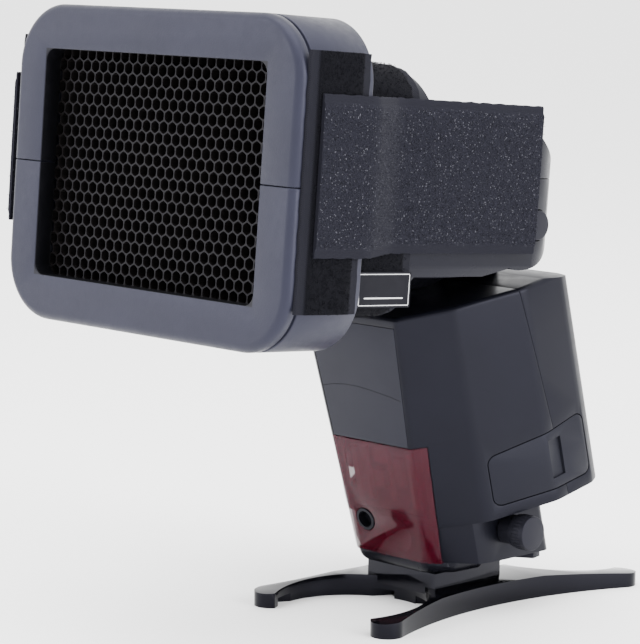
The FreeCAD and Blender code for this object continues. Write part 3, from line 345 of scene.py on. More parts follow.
def grid_finish(color, mouth, half_wide, half_tall):
    """Textured frame plastic; inside the mouth, where hardly any light gets, it is darker."""
    f = Finish("textured grey grid frame", color, 0.42, Specular_IOR_Level=0.18, Specular_Tint=COOL)
    turned_back = f.node("ShaderNodeMapping", {"vector_type": "TEXTURE"}, Vector=f.coordinates())
    turned_back.inputs["Location"].default_value = on_grid(0, 0, 0)
    turned_back.inputs["Rotation"].default_value = (-TIP, 0, 0)
    place = f.node("ShaderNodeSeparateXYZ", Vector=turned_back.outputs[0])
    wide = f.ramp(f.math("ABSOLUTE", place.outputs[0]), half_wide * MM, (half_wide + 0.12) * MM, 1.0, 0.0)
    tall = f.ramp(f.math("ABSOLUTE", place.outputs[2]), half_tall * MM, (half_tall + 0.12) * MM, 1.0, 0.0)
    broad = f.ramp(f.noise(14.0, 2.0), 0.3, 0.7)
    skin = f.mix(broad, lighter(color, 0.93), lighter(color, 1.07))
    # Inside the mouth the colour turns to the near-black mouth colour: painted shade.
    f.paint(f.mix(f.math("MULTIPLY", wide, tall), skin, mouth))
    f.rough(f.ramp(f.noise(2.0, 4.0), 0.3, 0.7, 0.37, 0.48))
    f.bump(f.noise(0.42, 3.0), 0.03)
    return f.material


def ribbed_lens():
    """Clear front lens with fine prism ribs across it."""
    f = Finish("ribbed lens", (0.80, 0.82, 0.84), 0.12, Alpha=0.5)
    ribs = f.node("ShaderNodeTexWave", {"bands_direction": "Z"}, Vector=f.coordinates(), Scale=200.0)
    f.bump(ribs.outputs["Fac"], 0.3)
    return f.material


finishes["lens"] = ribbed_lens()
# The second colour is the painted shade inside the grid's mouth.
finishes["grid"] = grid_finish((0.0108, 0.0112, 0.0190), (0.0010, 0.0010, 0.0013), 40.5, 28.5)

# %% [markdown]
# ## Tape finishes
# The UV map of a tape runs in centimetres along it (U) and from 0 to 1 across it (V).  Loop
# tape has a plain woven selvage on each edge, with ribs across it every 0.4 mm, and a matt
# pile in the middle.  Hook tape is a flat ground weave with rows of stiff little hooks.  The
# light that the hooks catch is painted into the colour as pale specks, a painted glint, and
# the loop pile gets fainter painted glints of the same kind.

# %% Tape finishes
RIB_TURN = 157.0        # a rib every 0.4 mm, in radians for each centimetre of U
CROSS_TURN = 300.0      # about 48 threads across the width, in radians for the whole of V
TAPE_SPOT = 0.62        # the spacing of the bright specks, in millimetres


def tape(name, color, woven, selvage, speck_glint, speck_share, pile_depth):
    """Woven tape: selvages (a share of the width), a mottled middle and pale specks on it, a painted glint of
    its fibres.
    """
    f = Finish(name, color, 0.9, Specular_IOR_Level=0.08, Specular_Tint=COOL)
    split = f.node("ShaderNodeSeparateXYZ", Vector=f.coordinates("UV"))
    along, across = split.outputs[0], split.outputs[1]
    from_middle = f.math("ABSOLUTE", f.math("SUBTRACT", across, 0.5))
    edge = f.ramp(from_middle, 0.5 - selvage - 0.01, 0.5 - selvage + 0.01)
    ribs = f.math("SINE", f.math("MULTIPLY", along, RIB_TURN))
    cross = f.math("SINE", f.math("MULTIPLY", across, CROSS_TURN))
    weave = f.math("MULTIPLY", ribs, cross)
    spots = f.node("ShaderNodeTexVoronoi", Vector=f.coordinates(),
                   Scale=PER_METRE / TAPE_SPOT)
    fluff = f.noise(0.30, 4.0)
    inside = f.math("SUBTRACT", 1.0, edge)
    # Pale specks off the selvages: a painted glint of the fibres on the tape.
    glint = f.math("MULTIPLY", f.ramp(spots.outputs["Distance"], 0.28, 0.16), inside)
    glint = f.math("MULTIPLY", glint, f.ramp(f.noise(0.9, 1.0), 1 - speck_share, 1 - speck_share + 0.08))
    ground = f.mix(f.ramp(fluff, 0.35, 0.65), lighter(color, 0.55), lighter(color, 1.6))
    hem = f.mix(f.ramp(weave, -0.6, 0.8), lighter(color, 0.8), woven)
    f.paint(f.mix(glint, f.mix(edge, ground, hem), speck_glint))
    f.bump(f.math("MULTIPLY", fluff, inside), pile_depth)
    f.bump(f.math("MULTIPLY", weave, edge), 0.05)
    return f.material


# The fourth colour of each tape is the pale painted glint of its fibres.
finishes["loop"] = tape("black loop tape", (0.0016, 0.0016, 0.0022), (0.015, 0.015, 0.020), 0.13,
                        (0.006, 0.006, 0.008), 0.30, 0.35)
finishes["hook"] = tape("charcoal hook tape", (0.0060, 0.0060, 0.0088), (0.010, 0.010, 0.014), 0.055,
                        (0.070, 0.070, 0.080), 0.50, 0.22)
finishes["fibre"] = moulded("black fibre", (0.0016, 0.0016, 0.0022), 0.75, 0.3, 0.001, **SATIN)
finishes["hooks"] = moulded("stiff hook fibre", (0.016, 0.016, 0.021), 0.4, 0.3, 0.001, **SATIN)

# %% [markdown]
# ## Mesh helpers
# A CAD solid arrives as loose triangles.  A merged copy with its flat faces joined again can
# take a bevel, and it is the bevel that makes a moulding look real: a thin line of light on
# each edge.  Shells whose corners are large and soft are also trimmed by a rounded envelope.

# %% Mesh helpers
def keep(name, mesh, material, body, *replaced, smooth=32.0):
    """Makes the object, gives it its finish and body, and hides the CAD nodes it stands for."""
    mesh.name = name
    mesh.materials.clear()
    mesh.materials.append(finishes[material])
    mesh.shade_smooth()
    mesh.set_sharp_from_angle(angle=math.radians(smooth))
    made = bpy.data.objects.new(name, mesh)
    bpy.context.scene.collection.objects.link(made)
    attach(made, body)
    if replaced:
        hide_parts(*replaced)
    return made


def plain_copy(node):
    """A merged copy of a CAD node's mesh, with its flat faces whole again."""
    shape = bmesh.new()
    shape.from_mesh(nodes[node].data)
    bmesh.ops.remove_doubles(shape, verts=shape.verts, dist=2e-6)
    bmesh.ops.dissolve_limit(shape, angle_limit=math.radians(0.3), verts=shape.verts, edges=shape.edges)
    mesh = bpy.data.meshes.new(node + "_copy")
    shape.to_mesh(mesh)
    shape.free()
    return mesh


def evaluated(mesh, *modifiers):
    """Applies modifiers, each given as (type, {setting: value}), and returns the new mesh."""
    holder = bpy.data.objects.new("holder", mesh)
    bpy.context.scene.collection.objects.link(holder)
    for kind, settings in modifiers:
        modifier = holder.modifiers.new(kind, kind)
        for key, value in settings.items():
            setattr(modifier, key, value)
    bpy.context.view_layer.update()
    graph = bpy.context.evaluated_depsgraph_get()
    result = bpy.data.meshes.new_from_object(holder.evaluated_get(graph))
    bpy.data.objects.remove(holder)
    return result


def bevel(width_mm, segments=2, angle=28.0):
    return ("BEVEL", {"width": width_mm * MM, "segments": segments, "limit_method": "ANGLE",
                      "angle_limit": math.radians(angle), "use_clamp_overlap": True})


def combined(mesh, other, operation):
    """mesh cut by, joined to or limited to another closed mesh."""
    tool = bpy.data.objects.new("tool", other)
    bpy.context.scene.collection.objects.link(tool)
    result = evaluated(mesh, ("BOOLEAN", {"operation": operation, "object": tool, "solver": "EXACT"}))
    bpy.data.objects.remove(tool)
    return result


def joined(*meshes):
    """Several meshes as one, keeping their UV map."""
    shape = bmesh.new()
    for mesh in meshes:
        shape.from_mesh(mesh)
    mesh = bpy.data.meshes.new("joined")
    shape.to_mesh(mesh)
    shape.free()
    return mesh


def rounded(points, radii, steps=6):
    """A closed outline with an arc of the given radius at each corner."""
    outline = []
    count = len(points)
    for i, (corner, radius) in enumerate(zip(points, radii)):
        here = Vector(corner)
        before = (Vector(points[i - 1]) - here).normalized()
        after = (Vector(points[(i + 1) % count]) - here).normalized()
        half = before.angle(after) / 2
        centre = here + (before + after).normalized() * (radius / math.sin(half))
        start = here + before * (radius / math.tan(half))
        end = here + after * (radius / math.tan(half))
        for k in range(steps + 1):
            t = k / steps
            spoke = (start - centre).lerp(end - centre, t).normalized()
            outline.append(centre + spoke * radius)
    return outline


def lofted(rings, name="loft"):
    """A closed form through rings of equal length, capped at both ends."""
    shape = bmesh.new()
    rows = [[shape.verts.new(p) for p in ring] for ring in rings]
    count = len(rows[0])
    for low, high in zip(rows, rows[1:]):
        for k in range(count):
            shape.faces.new((low[k], low[(k + 1) % count], high[(k + 1) % count], high[k]))
    shape.faces.new(list(reversed(rows[0])))
    shape.faces.new(rows[-1])
    bmesh.ops.recalc_face_normals(shape, faces=shape.faces)
    mesh = bpy.data.meshes.new(name)
    shape.to_mesh(mesh)
    shape.free()
    return mesh


# %% [markdown]
# ## Body shells
# The body is a tall wedge with soft facets.  The rounded envelope is a loft of the plan
# outline at several heights; everything on the body's skin is limited to it, so the window,
# the covers and the shells share one smooth surface.

# %% Body envelope
FRONT_Y, REAR_Y, BODY_TOP, FORM_LOW = -14.2, 35.4, 88.0, 10.0
SKIN = 0.03
FRONT_HALF_LOW, FRONT_HALF_TOP = 12.1, 17.1
CORNER_RADII = (2.6, 9.0, 9.0, 6.5)


def body_outline(height, inset):
    rise = min(1.0, (height - FORM_LOW) / (BODY_TOP - FORM_LOW))
    front = FRONT_HALF_LOW + (FRONT_HALF_TOP - FRONT_HALF_LOW) * rise
    side = [(front - 0.4 * inset, FRONT_Y + inset), (27.0 - 0.95 * inset, -2.5 + 0.4 * inset),
            (35.5 - inset, 16.2), (37.0 - inset, REAR_Y - inset)]
    points = side + [(-x, y) for x, y in reversed(side)]
    return rounded(points, CORNER_RADII + tuple(reversed(CORNER_RADII)))


def body_envelope(low=-6.0, edge=1.4):
    rings = []
    heights = [(low + (BODY_TOP - edge - low) * k / 8, 0.0) for k in range(9)]
    for k in range(1, 6):
        turn = math.radians(18 * k)
        heights.append((BODY_TOP - edge + edge * math.sin(turn), edge * (1 - math.cos(turn))))
    for height, inset in heights:
        rings.append([on_body(p.x, p.y, height - SKIN) for p in body_outline(height, SKIN + inset)])
    return lofted(rings, "body_envelope")


# %% [markdown]
# Each shell is a wall with sharp corners in the CAD model.  Cutting its merged copy to the
# envelope rounds the corners of every neighbour in the same way, so the joints stay thin and
# even.  The bevel that follows is only as wide as the real edge.

# %% Body shells, name panel and covers
SKIN_PIECES = [
    ("front_shell", "front_shell_skin", "body", "flash_body", 0.18),
    ("rear_shell", "rear_shell_skin", "body", "flash_body", 0.22),
    # The name panel takes the panel finish, whose lighter grey is a painted highlight.
    ("front_panel", "name_panel", "panel", "flash_body", 0.15),
    ("terminal_cover", "terminal_flap", "cover", "terminal_cover", 0.25),
    ("battery_door", "battery_door_skin", "body", "battery_door", 0.25),
]
for node, name, finish, body, width in SKIN_PIECES:
    trimmed = combined(plain_copy(node), body_envelope(), "INTERSECT")
    keep(name, evaluated(trimmed, bevel(width, 2, 40.0)), finish, body, node)
    print(name, len(trimmed.polygons), "faces")

# %% [markdown]
# ## Lines on the body
# A fine curved groove crosses the name panel, and the ridge beside the panel has a small dark
# notch.  Lines this fine are easier to lay on than to cut: each is a thin dark strip that is
# set into the skin and follows a few points.

# %% Panel groove and edge notch
def strip(points, outward, sideways, width, lift, sink):
    """A closed strip along points on the skin, which faces outward and is as wide as given."""
    foot, crown = sideways * width / 2, sideways * width * 0.3
    rings = [[spot - foot - outward * sink, spot - crown + outward * lift,
              spot + crown + outward * lift, spot + foot - outward * sink] for spot in points]
    return lofted([[on_body(*p) for p in ring] for ring in rings], "strip")


ARC = [(-15.0, 65.4), (-10.5, 66.4), (-5.9, 66.9), (-1.2, 66.85), (3.3, 66.4), (10.4, 65.35),
       (14.1, 64.55)]
groove = strip([Vector((x, FRONT_Y, z)) for x, z in ARC], Vector((0, -1, 0)), Vector((0, 0, 1)),
               0.34, -0.012, 0.25)
keep("panel_groove", groove, "crease", "flash_body")
NOTCH = [(14.2, 64.2), (15.0, 63.2), (15.25, 60.0), (15.0, 56.0), (14.7, 53.0)]
NOTCH_IN, NOTCH_BACK = 0.35, 0.42
notch = strip([Vector((x - NOTCH_IN, FRONT_Y + NOTCH_BACK, z)) for x, z in NOTCH],
              Vector((0.5, -0.87, 0)), Vector((0.87, 0.5, 0)), 0.9, -0.01, 0.3)
keep("ridge_notch", notch, "crease", "flash_body")
print(len(ARC), "points on the groove,", len(NOTCH), "on the notch")

# %% [markdown]
# ## Red window and what sits behind it
# The window is a thin cap of dark red plastic.  It is nearly opaque from a distance, with
# the lamp block, a ringed sensor and a dark dome lens showing through it, so it is clear
# plastic with a deep tint rather than a painted surface.

# %% Window, sensor and dome
window = combined(plain_copy("sensor_window"), body_envelope(), "INTERSECT")
keep("red_window", evaluated(window, bevel(0.3, 2, 40.0)), "red", "flash_body", "sensor_window")


def circle_point(radius, k, steps):
    """The point k of so many on a circle round the origin."""
    turn = 2 * math.pi * k / steps
    return radius * math.cos(turn), radius * math.sin(turn)


def round_form(profile, place, steps=40):
    """A solid form turned about an axis: profile is (radius, advance) pairs."""
    rings = []
    for radius, y in profile:
        circle = [circle_point(radius, k, steps) for k in range(steps)]
        rings.append([place(x, y, z) for x, z in circle])
    return lofted(rings, "round_form")


def ring_mesh(profile, place, steps=48):
    """A closed ring: the profile's loop is turned about the axis."""
    shape = bmesh.new()
    rows = []
    for k in range(steps):
        spots = [(circle_point(radius, k, steps), y) for radius, y in profile]
        rows.append([shape.verts.new(place(x, y, z)) for (x, z), y in spots])
    count = len(profile)
    for k in range(steps):
        near, far = rows[k], rows[(k + 1) % steps]
        for i in range(count):
            shape.faces.new((near[i], near[(i + 1) % count], far[(i + 1) % count], far[i]))
    bmesh.ops.recalc_face_normals(shape, faces=shape.faces)
    mesh = bpy.data.meshes.new("ring")
    shape.to_mesh(mesh)
    shape.free()
    return mesh


SENSOR_X, SENSOR_Z = -7.4, 27.3
RING_BORE, RING_LIP, RING_OUT = 2.35, 3.1, 3.3
RING_FACE, RING_SHOULDER, RING_BACK = -14.35, -14.0, -11.2
DOME_X, DOME_Z, DOME_R = 0.6, 22.6, 6.0
DOME_FOOT, DOME_RISE, DOME_POLE = -9.3, 3.0, 0.02


def on_sensor(x, y, z):
    return on_body(x + SENSOR_X, y, z + SENSOR_Z)


def on_dome(x, y, z):
    return on_body(x + DOME_X, y, z + DOME_Z)


ring_profile = [(RING_BORE, RING_FACE), (RING_LIP, RING_FACE), (RING_OUT, RING_SHOULDER),
                (RING_OUT, RING_BACK), (RING_BORE, RING_BACK)]
keep("sensor_ring", ring_mesh(ring_profile, on_sensor), "gloss", "flash_body")
dome_profile = []
for degrees in range(0, 90, 10):
    climb = math.radians(degrees)
    dome_profile.append((DOME_R * math.cos(climb) + DOME_POLE, DOME_FOOT - DOME_RISE * math.sin(climb)))
keep("dome_lens", round_form(dome_profile, on_dome), "dome", "flash_body")
print("ring", RING_OUT * 2, "mm and dome", DOME_R * 2, "mm across")

# %% [markdown]
# Behind the red cap the autofocus lamp is a block of clear facets.  Only a few bright patches
# of it show, so each facet is one small raised plate, all joined into one piece.  The plates
# are painted pale red: a painted highlight for the light the clear facets catch.

# %% Lamp facets behind the window
FACET_BACK, FACET_FACE, FACET_SLOPE = -10.9, -11.9, 0.5
FACETS = [(-11.2, -8.4, 34.0, 47.6), (-7.6, -4.8, 32.5, 48.6), (-3.9, 0.6, 36.5, 42.0),
          (1.6, 3.2, 33.5, 48.2), (4.2, 8.0, 37.5, 46.5), (9.0, 11.3, 31.5, 48.4), (-2.8, 2.6, 43.6, 48.4)]


def box_ring(x_low, x_high, y, z_low, z_high):
    return [on_body(x, y, z) for x, z in ((x_low, z_low), (x_high, z_low), (x_high, z_high), (x_low, z_high))]


def facet(x_low, x_high, z_low, z_high):
    """One raised plate whose face is smaller than its foot."""
    foot = box_ring(x_low, x_high, FACET_BACK, z_low, z_high)
    face = box_ring(x_low + FACET_SLOPE, x_high - FACET_SLOPE, FACET_FACE,
                    z_low + FACET_SLOPE, z_high - FACET_SLOPE)
    return lofted([foot, face], "facet")


facets = joined(*[facet(*row) for row in FACETS])
# The facets take the pale red painted highlight.
keep("lamp_facets", facets, "lamp_facet_highlight", "flash_body")
print(len(FACETS), "lamp facets")

# %% [markdown]
# ## Base and chin
# Under the window the base turns under in a smooth chin that nearly meets the shoe.  The
# base housing keeps its CAD form with rounded edges, and the chin is a loft of rounded
# rectangles that shrink as they go down, like the bow of a boat.

# %% Base and chin
def softened(node, name, finish, body, width, segments=2, angle=28.0, smooth=32.0):
    """The CAD form with its flat faces joined and a fine bevel on every hard edge."""
    mesh = evaluated(plain_copy(node), bevel(width, segments, angle))
    return keep(name, mesh, finish, body, node, smooth=smooth)


softened("base_housing", "base_shell", "body", "flash_body", 0.5, 3)


CHIN_TOP, CHIN_DROP = 14.1, 3.75
CHIN_FRONT, CHIN_TUCK = -18.1, 2.9
CHIN_HALF, CHIN_NARROW = 12.5, 2.2
CHIN_CORNERS = (2.6, 3.0, 1.0)


def chin():
    """A loft whose sections shrink along a quarter turn as they go down."""
    rings = []
    for k in range(10):
        turn = math.radians(10 * k)
        shrink = 1 - math.cos(turn)
        front = CHIN_FRONT + CHIN_TUCK * shrink
        half = CHIN_HALF - CHIN_NARROW * shrink
        side = [(half - 0.2, front), (half + 4.6, -11.0 + 1.6 * shrink), (half + 5.2, 0.0)]
        points = side + [(-x, y) for x, y in reversed(side)]
        outline = rounded(points, CHIN_CORNERS + tuple(reversed(CHIN_CORNERS)))
        rings.append([in_row(p.x, p.y, CHIN_TOP - CHIN_DROP * math.sin(turn)) for p in outline])
    return lofted(rings, "chin")


keep("chin", chin(), "body_fine", "flash_body")

# %% [markdown]
# ## Stand
# The stand is one thin moulding in polished black: four legs that spread from a flat middle,
# with the shoe's rails on top.  A wide bevel along its upper edges catches the light as the
# bright lines that follow each leg.

# %% Stand
softened("stand_plate", "stand_moulding", "stand", "stand", 0.75, 4, 24.0, 40.0)

# %% [markdown]
# ## Grid frame and honeycomb
# The frame is moulded in two halves that meet at mid height.  The cells follow a rule, a
# hexagon every 3.175 mm with each row shifted by half a cell, so Geometry Nodes lay them
# out: a grid of points, an offset for the odd rows, and one small cell on each point.

# %% Grid frame
softened("grid_frame_upper", "grid_upper", "grid", "head", 0.28, 2, 30.0, 34.0)
softened("grid_frame_lower", "grid_lower", "grid", "head", 0.28, 2, 30.0, 34.0)

# %% [markdown]
# A node tree is easier to read when its sizes have names.  This helper makes a tree with one
# named input for each size, adds nodes and links in one call, and ends every tree with
# Realize Instances and Set Material, because only real faces are exported.

# %% Node tree helpers
class Tree:
    """A Geometry Nodes tree with named inputs, run once on an object and then baked."""

    def __init__(self, name, **inputs):
        self.group = bpy.data.node_groups.new(name, "GeometryNodeTree")
        face = self.group.interface
        face.new_socket("Geometry", in_out="INPUT", socket_type="NodeSocketGeometry")
        face.new_socket("Geometry", in_out="OUTPUT", socket_type="NodeSocketGeometry")
        self.ids = {}
        kinds = {float: "NodeSocketFloat", int: "NodeSocketInt", bpy.types.Object: "NodeSocketObject",
                 bpy.types.Material: "NodeSocketMaterial"}
        self.values = inputs
        for label, value in inputs.items():
            kind = next(k for t, k in kinds.items() if isinstance(value, t))
            self.ids[label] = face.new_socket(label, in_out="INPUT", socket_type=kind).identifier
        self.start = self.group.nodes.new("NodeGroupInput")
        self.end = self.group.nodes.new("NodeGroupOutput")

    def input(self, label):
        return next(s for s in self.start.outputs if s.name == label)

    def node(self, kind, settings=(), **inputs):
        made = self.group.nodes.new(kind)
        for key, value in dict(settings).items():
            setattr(made, key, value)
        for socket, value in inputs.items():
            self.feed(made, socket.replace("_", " "), value)
        return made

    def feed(self, made, socket, value):
        index = int(socket[1:]) if socket[0] == "i" and socket[1:].isdigit() else None
        target = made.inputs[index] if index is not None else next(
            s for s in made.inputs if s.name == socket and s.enabled)
        if isinstance(value, bpy.types.NodeSocket):
            self.group.links.new(value, target)
        else:
            target.default_value = value

    def math(self, operation, a, b=0.0):
        return self.node("ShaderNodeMath", {"operation": operation}, i0=a, i1=b).outputs[0]

    def close(self, geometry, material):
        whole = self.node("GeometryNodeRealizeInstances", Geometry=geometry)
        painted = self.node("GeometryNodeSetMaterial", Geometry=whole.outputs[0], Material=material)
        self.group.links.new(painted.outputs[0], self.end.inputs[0])

    def run(self, mesh):
        """The result on the given mesh, as a plain mesh."""
        holder = bpy.data.objects.new("holder", mesh)
        bpy.context.scene.collection.objects.link(holder)
        modifier = holder.modifiers.new("rule", "NODES")
        modifier.node_group = self.group
        for label, value in self.values.items():
            modifier[self.ids[label]] = value
        bpy.context.view_layer.update()
        graph = bpy.context.evaluated_depsgraph_get()
        result = bpy.data.meshes.new_from_object(holder.evaluated_get(graph))
        bpy.data.objects.remove(holder)
        return result


def model_object(name, mesh):
    """A small object for a node tree to copy, kept out of the scene."""
    return bpy.data.objects.new(name, mesh)


# %% [markdown]
# One cell is a hexagonal tube whose bore has eased corners, as glued foil has.  Twelve
# sides are enough for it, because it is copied some six hundred times.

# %% Honeycomb cells
PITCH, WALL = 3.175, 0.15
CELL_FRONT, CELL_DEPTH = 5.0, 10.0
COLUMNS, ROWS, HALF_WIDTH = 27, 23, 42.2
BORE_CORNER = 1.075


def cell_mesh():
    """One hexagonal tube with a softly rounded bore, its axis along Y, in millimetres."""
    outer_reach = PITCH / math.sqrt(3)
    sides = 12
    rings = []
    for depth in (0.0, CELL_DEPTH):
        outer, inner = [], []
        for k in range(sides):
            turn = math.radians(30 + 30 * k)
            corner = k % 2 == 0
            reach = outer_reach if corner else outer_reach * math.cos(math.radians(30))
            bore = (PITCH / 2 - WALL) * (BORE_CORNER if corner else 1.0)
            outer.append(Vector((reach * math.cos(turn), depth, reach * math.sin(turn))))
            inner.append(Vector((bore * math.cos(turn), depth, bore * math.sin(turn))))
        rings.append((outer, inner))
    shape = bmesh.new()
    loops = [[shape.verts.new(p) for p in loop] for pair in rings for loop in pair]
    front_out, front_in, rear_out, rear_in = loops
    for near, far in ((front_out, rear_out), (rear_out, rear_in), (rear_in, front_in), (front_in, front_out)):
        for k in range(sides):
            shape.faces.new((near[k], near[(k + 1) % sides], far[(k + 1) % sides], far[k]))
    bmesh.ops.recalc_face_normals(shape, faces=shape.faces)
    mesh = bpy.data.meshes.new("cell")
    shape.to_mesh(mesh)
    shape.free()
    return mesh


def honeycomb():
    """Rows of cells, each odd row shifted by half a cell, cut to the width of the mouth."""
    rule = Tree("honeycomb rows", Columns=COLUMNS, Rows=ROWS, Pitch=PITCH, Row_step=PITCH * math.sqrt(3) / 2,
                Half_width=HALF_WIDTH, Cell=model_object("cell", cell_mesh()), Finish=finishes["honeycomb"])
    width = rule.math("MULTIPLY", rule.input("Pitch"), rule.math("SUBTRACT", rule.input("Columns"), 1))
    height = rule.math("MULTIPLY", rule.input("Row_step"), rule.math("SUBTRACT", rule.input("Rows"), 1))
    flat = rule.node("GeometryNodeMeshGrid", Size_X=width, Size_Y=height, Vertices_X=rule.input("Columns"),
                     Vertices_Y=rule.input("Rows"))
    place = rule.node("ShaderNodeSeparateXYZ", Vector=rule.node("GeometryNodeInputPosition").outputs[0])
    row = rule.math("ROUND", rule.math("DIVIDE", place.outputs[1], rule.input("Row_step")))
    odd = rule.math("ABSOLUTE", rule.math("MODULO", row, 2.0))
    shift = rule.math("MULTIPLY", odd, rule.math("MULTIPLY", rule.input("Pitch"), 0.5))
    shifted = rule.math("SUBTRACT", place.outputs[0], shift)
    moved = rule.node("ShaderNodeCombineXYZ", X=shifted, Z=place.outputs[1])
    points = rule.node("GeometryNodeSetPosition", Geometry=flat.outputs["Mesh"], Position=moved.outputs[0])
    across = rule.math("ABSOLUTE", shifted)
    reach = rule.math("SUBTRACT", rule.input("Half_width"), rule.math("MULTIPLY", rule.input("Pitch"), 0.5))
    outside = rule.node("FunctionNodeCompare", {"operation": "GREATER_THAN"}, i0=across, i1=reach)
    kept = rule.node("GeometryNodeDeleteGeometry", Geometry=points.outputs[0], Selection=outside.outputs[0])
    cell = rule.node("GeometryNodeObjectInfo", Object=rule.input("Cell")).outputs["Geometry"]
    copies = rule.node("GeometryNodeInstanceOnPoints", Points=kept.outputs[0], Instance=cell)
    rule.close(copies.outputs[0], rule.input("Finish"))
    mesh = rule.run(bpy.data.meshes.new("seed"))
    for vertex in mesh.vertices:
        x, y, z = vertex.co
        vertex.co = on_grid(x, y + CELL_FRONT, z)
    print("honeycomb", len(mesh.polygons), "faces")
    return mesh


keep("honeycomb_cells", honeycomb(), "honeycomb", "head", "honeycomb_core", smooth=20.0)

# %% [markdown]
# ## Tapes
# Every tape is a strip that follows a line, with plain woven selvages that are thinner than
# its middle.  One helper sweeps that section along the line and writes the tape's own UV
# map; the pile or hooks on it are laid by Geometry Nodes in the step after.

# %% Tape section and sweep
def bent_line(points, radii, steps=7):
    """An open line with an arc at each inner corner."""
    line = [Vector(points[0])]
    for i, radius in enumerate(radii, start=1):
        here = Vector(points[i])
        before = (Vector(points[i - 1]) - here).normalized()
        after = (Vector(points[i + 1]) - here).normalized()
        half = before.angle(after) / 2
        reach = radius / math.tan(half)
        centre = here + (before + after).normalized() * (radius / math.sin(half))
        for k in range(steps + 1):
            spoke = (here + before * reach - centre).lerp(here + after * reach - centre, k / steps)
            line.append(centre + spoke.normalized() * radius)
    line.append(Vector(points[-1]))
    return line


def evenly(line, step, closed=False):
    """The same line with points a fixed step apart."""
    source = line + [line[0]] if closed else line
    lengths = [(b - a).length for a, b in zip(source, source[1:])]
    total = sum(lengths)
    count = max(2, round(total / step))
    out, i, passed = [], 0, 0.0
    for k in range(count if closed else count + 1):
        target = total * k / count
        while i < len(lengths) - 1 and passed + lengths[i] < target:
            passed += lengths[i]
            i += 1
        out.append(source[i].lerp(source[i + 1], min(1.0, (target - passed) / lengths[i])))
    return out, total


def swept_tape(line, side, low, high, thick, hem, place, closed=False, pile=False):
    """A tape on a line: its inner face lies on the line, its section rises on the given side."""
    count = len(line)
    hem_thick = thick * 0.62
    section = [(0.0, hem_thick * 0.6), (0.012, hem_thick), (hem - 0.012, hem_thick), (hem + 0.012, thick),
               (0.25, thick), (0.42, thick * 1.04), (0.58, thick * 1.04), (0.75, thick),
               (0.988 - hem, thick), (1.012 - hem, hem_thick), (0.988, hem_thick), (1.0, hem_thick * 0.6)]
    if pile:
        section = [(v, h) for v, h in section if hem < v < 1 - hem]
    else:
        section = [(0.0, 0.0)] + section + [(1.0, 0.0)]
    shape = bmesh.new()
    uv = shape.loops.layers.uv.new("tape")
    rows, travelled = [], [0.0]
    for k, point in enumerate(line):
        ahead = line[(k + 1) % count] if closed or k < count - 1 else point
        behind = line[k - 1] if closed or k else point
        along = (ahead - behind).normalized()
        out = Vector((along.y, -along.x)) * side
        wander = 0.09 * math.sin(k * 1.93) + 0.05 * math.sin(k * 4.7)
        row = []
        for v, height in section:
            spot = point + out * height
            across = low + (high - low) * v + (wander if v in (0.0, 0.012, 0.988, 1.0) else 0.0)
            row.append(shape.verts.new(place(spot.x, spot.y, across)))
        rows.append(row)
        if k or closed:
            travelled.append(travelled[-1] + (ahead - point if closed else point - line[k - 1]).length * 0.1)
    wide = len(section)
    pairs = [(k, (k + 1) % count) for k in range(count if closed else count - 1)]
    for k, nxt in pairs:
        start, end = travelled[k], travelled[k + 1]
        for i in range(wide - 1 if pile else wide):
            j = (i + 1) % wide
            face = shape.faces.new((rows[k][i], rows[nxt][i], rows[nxt][j], rows[k][j]))
            for loop, (u, v) in zip(face.loops, ((start, section[i][0]), (end, section[i][0]),
                                                 (end, section[j][0]), (start, section[j][0]))):
                loop[uv].uv = (u, v)
    if not closed and not pile:
        shape.faces.new(list(reversed(rows[0])))
        shape.faces.new(rows[-1])
    if not pile:
        bmesh.ops.recalc_face_normals(shape, faces=shape.faces)
    elif side_faces_in(shape, rows, place, line, side):
        bmesh.ops.reverse_faces(shape, faces=shape.faces)
    mesh = bpy.data.meshes.new("tape")
    shape.to_mesh(mesh)
    shape.free()
    return mesh


def side_faces_in(shape, rows, place, line, side):
    """True when an open strip's faces look at the tape's inner side."""
    shape.faces.ensure_lookup_table()
    shape.normal_update()
    along = (line[1] - line[0]).normalized()
    base = Vector((line[0].x, line[0].y))
    out = base + Vector((along.y, -along.x)) * side
    outward = place(out.x, out.y, 0.0) - place(base.x, base.y, 0.0)
    return shape.faces[0].normal.dot(outward) < 0


# %% [markdown]
# A loop of the pile is a thin arch, and a hook is a stem with a bent tip.  Geometry Nodes
# scatter them over the middle of a tape with a fixed seed, and turn and tilt each one, so the
# tape's outline is rough in the way real tape is.

# %% Fibres and pile
def bent_fibre(name, points, radius, sides=3):
    """A thin closed fibre along a few points, in millimetres, given to a tree in metres."""
    rings = []
    for k, (x, z) in enumerate(points):
        before, after = points[max(0, k - 1)], points[min(len(points) - 1, k + 1)]
        run = Vector((after[0] - before[0], 0, after[1] - before[1])).normalized()
        cross = run.cross(Vector((0, 1, 0)))
        turns = [2 * math.pi * s / sides for s in range(sides)]
        spokes = [cross * math.cos(turn) + Vector((0, 1, 0)) * math.sin(turn) for turn in turns]
        rings.append([(Vector((x, 0, z)) + spoke * radius) * MM for spoke in spokes])
    return model_object(name, lofted(rings, name))


LOOP_LINE = [(-0.24, 0.0), (-0.2, 0.24), (0.0, 0.38), (0.2, 0.24), (0.24, 0.0)]
HOOK_LINE = [(0.0, 0.0), (0.0, 0.34), (0.1, 0.5), (0.26, 0.48), (0.31, 0.34)]
LOOP_FIBRE = bent_fibre("loop_form", LOOP_LINE, 0.05)
HOOK_FIBRE = bent_fibre("hook_form", HOOK_LINE, 0.055)
SMALLEST, LARGEST = 0.7, 1.15


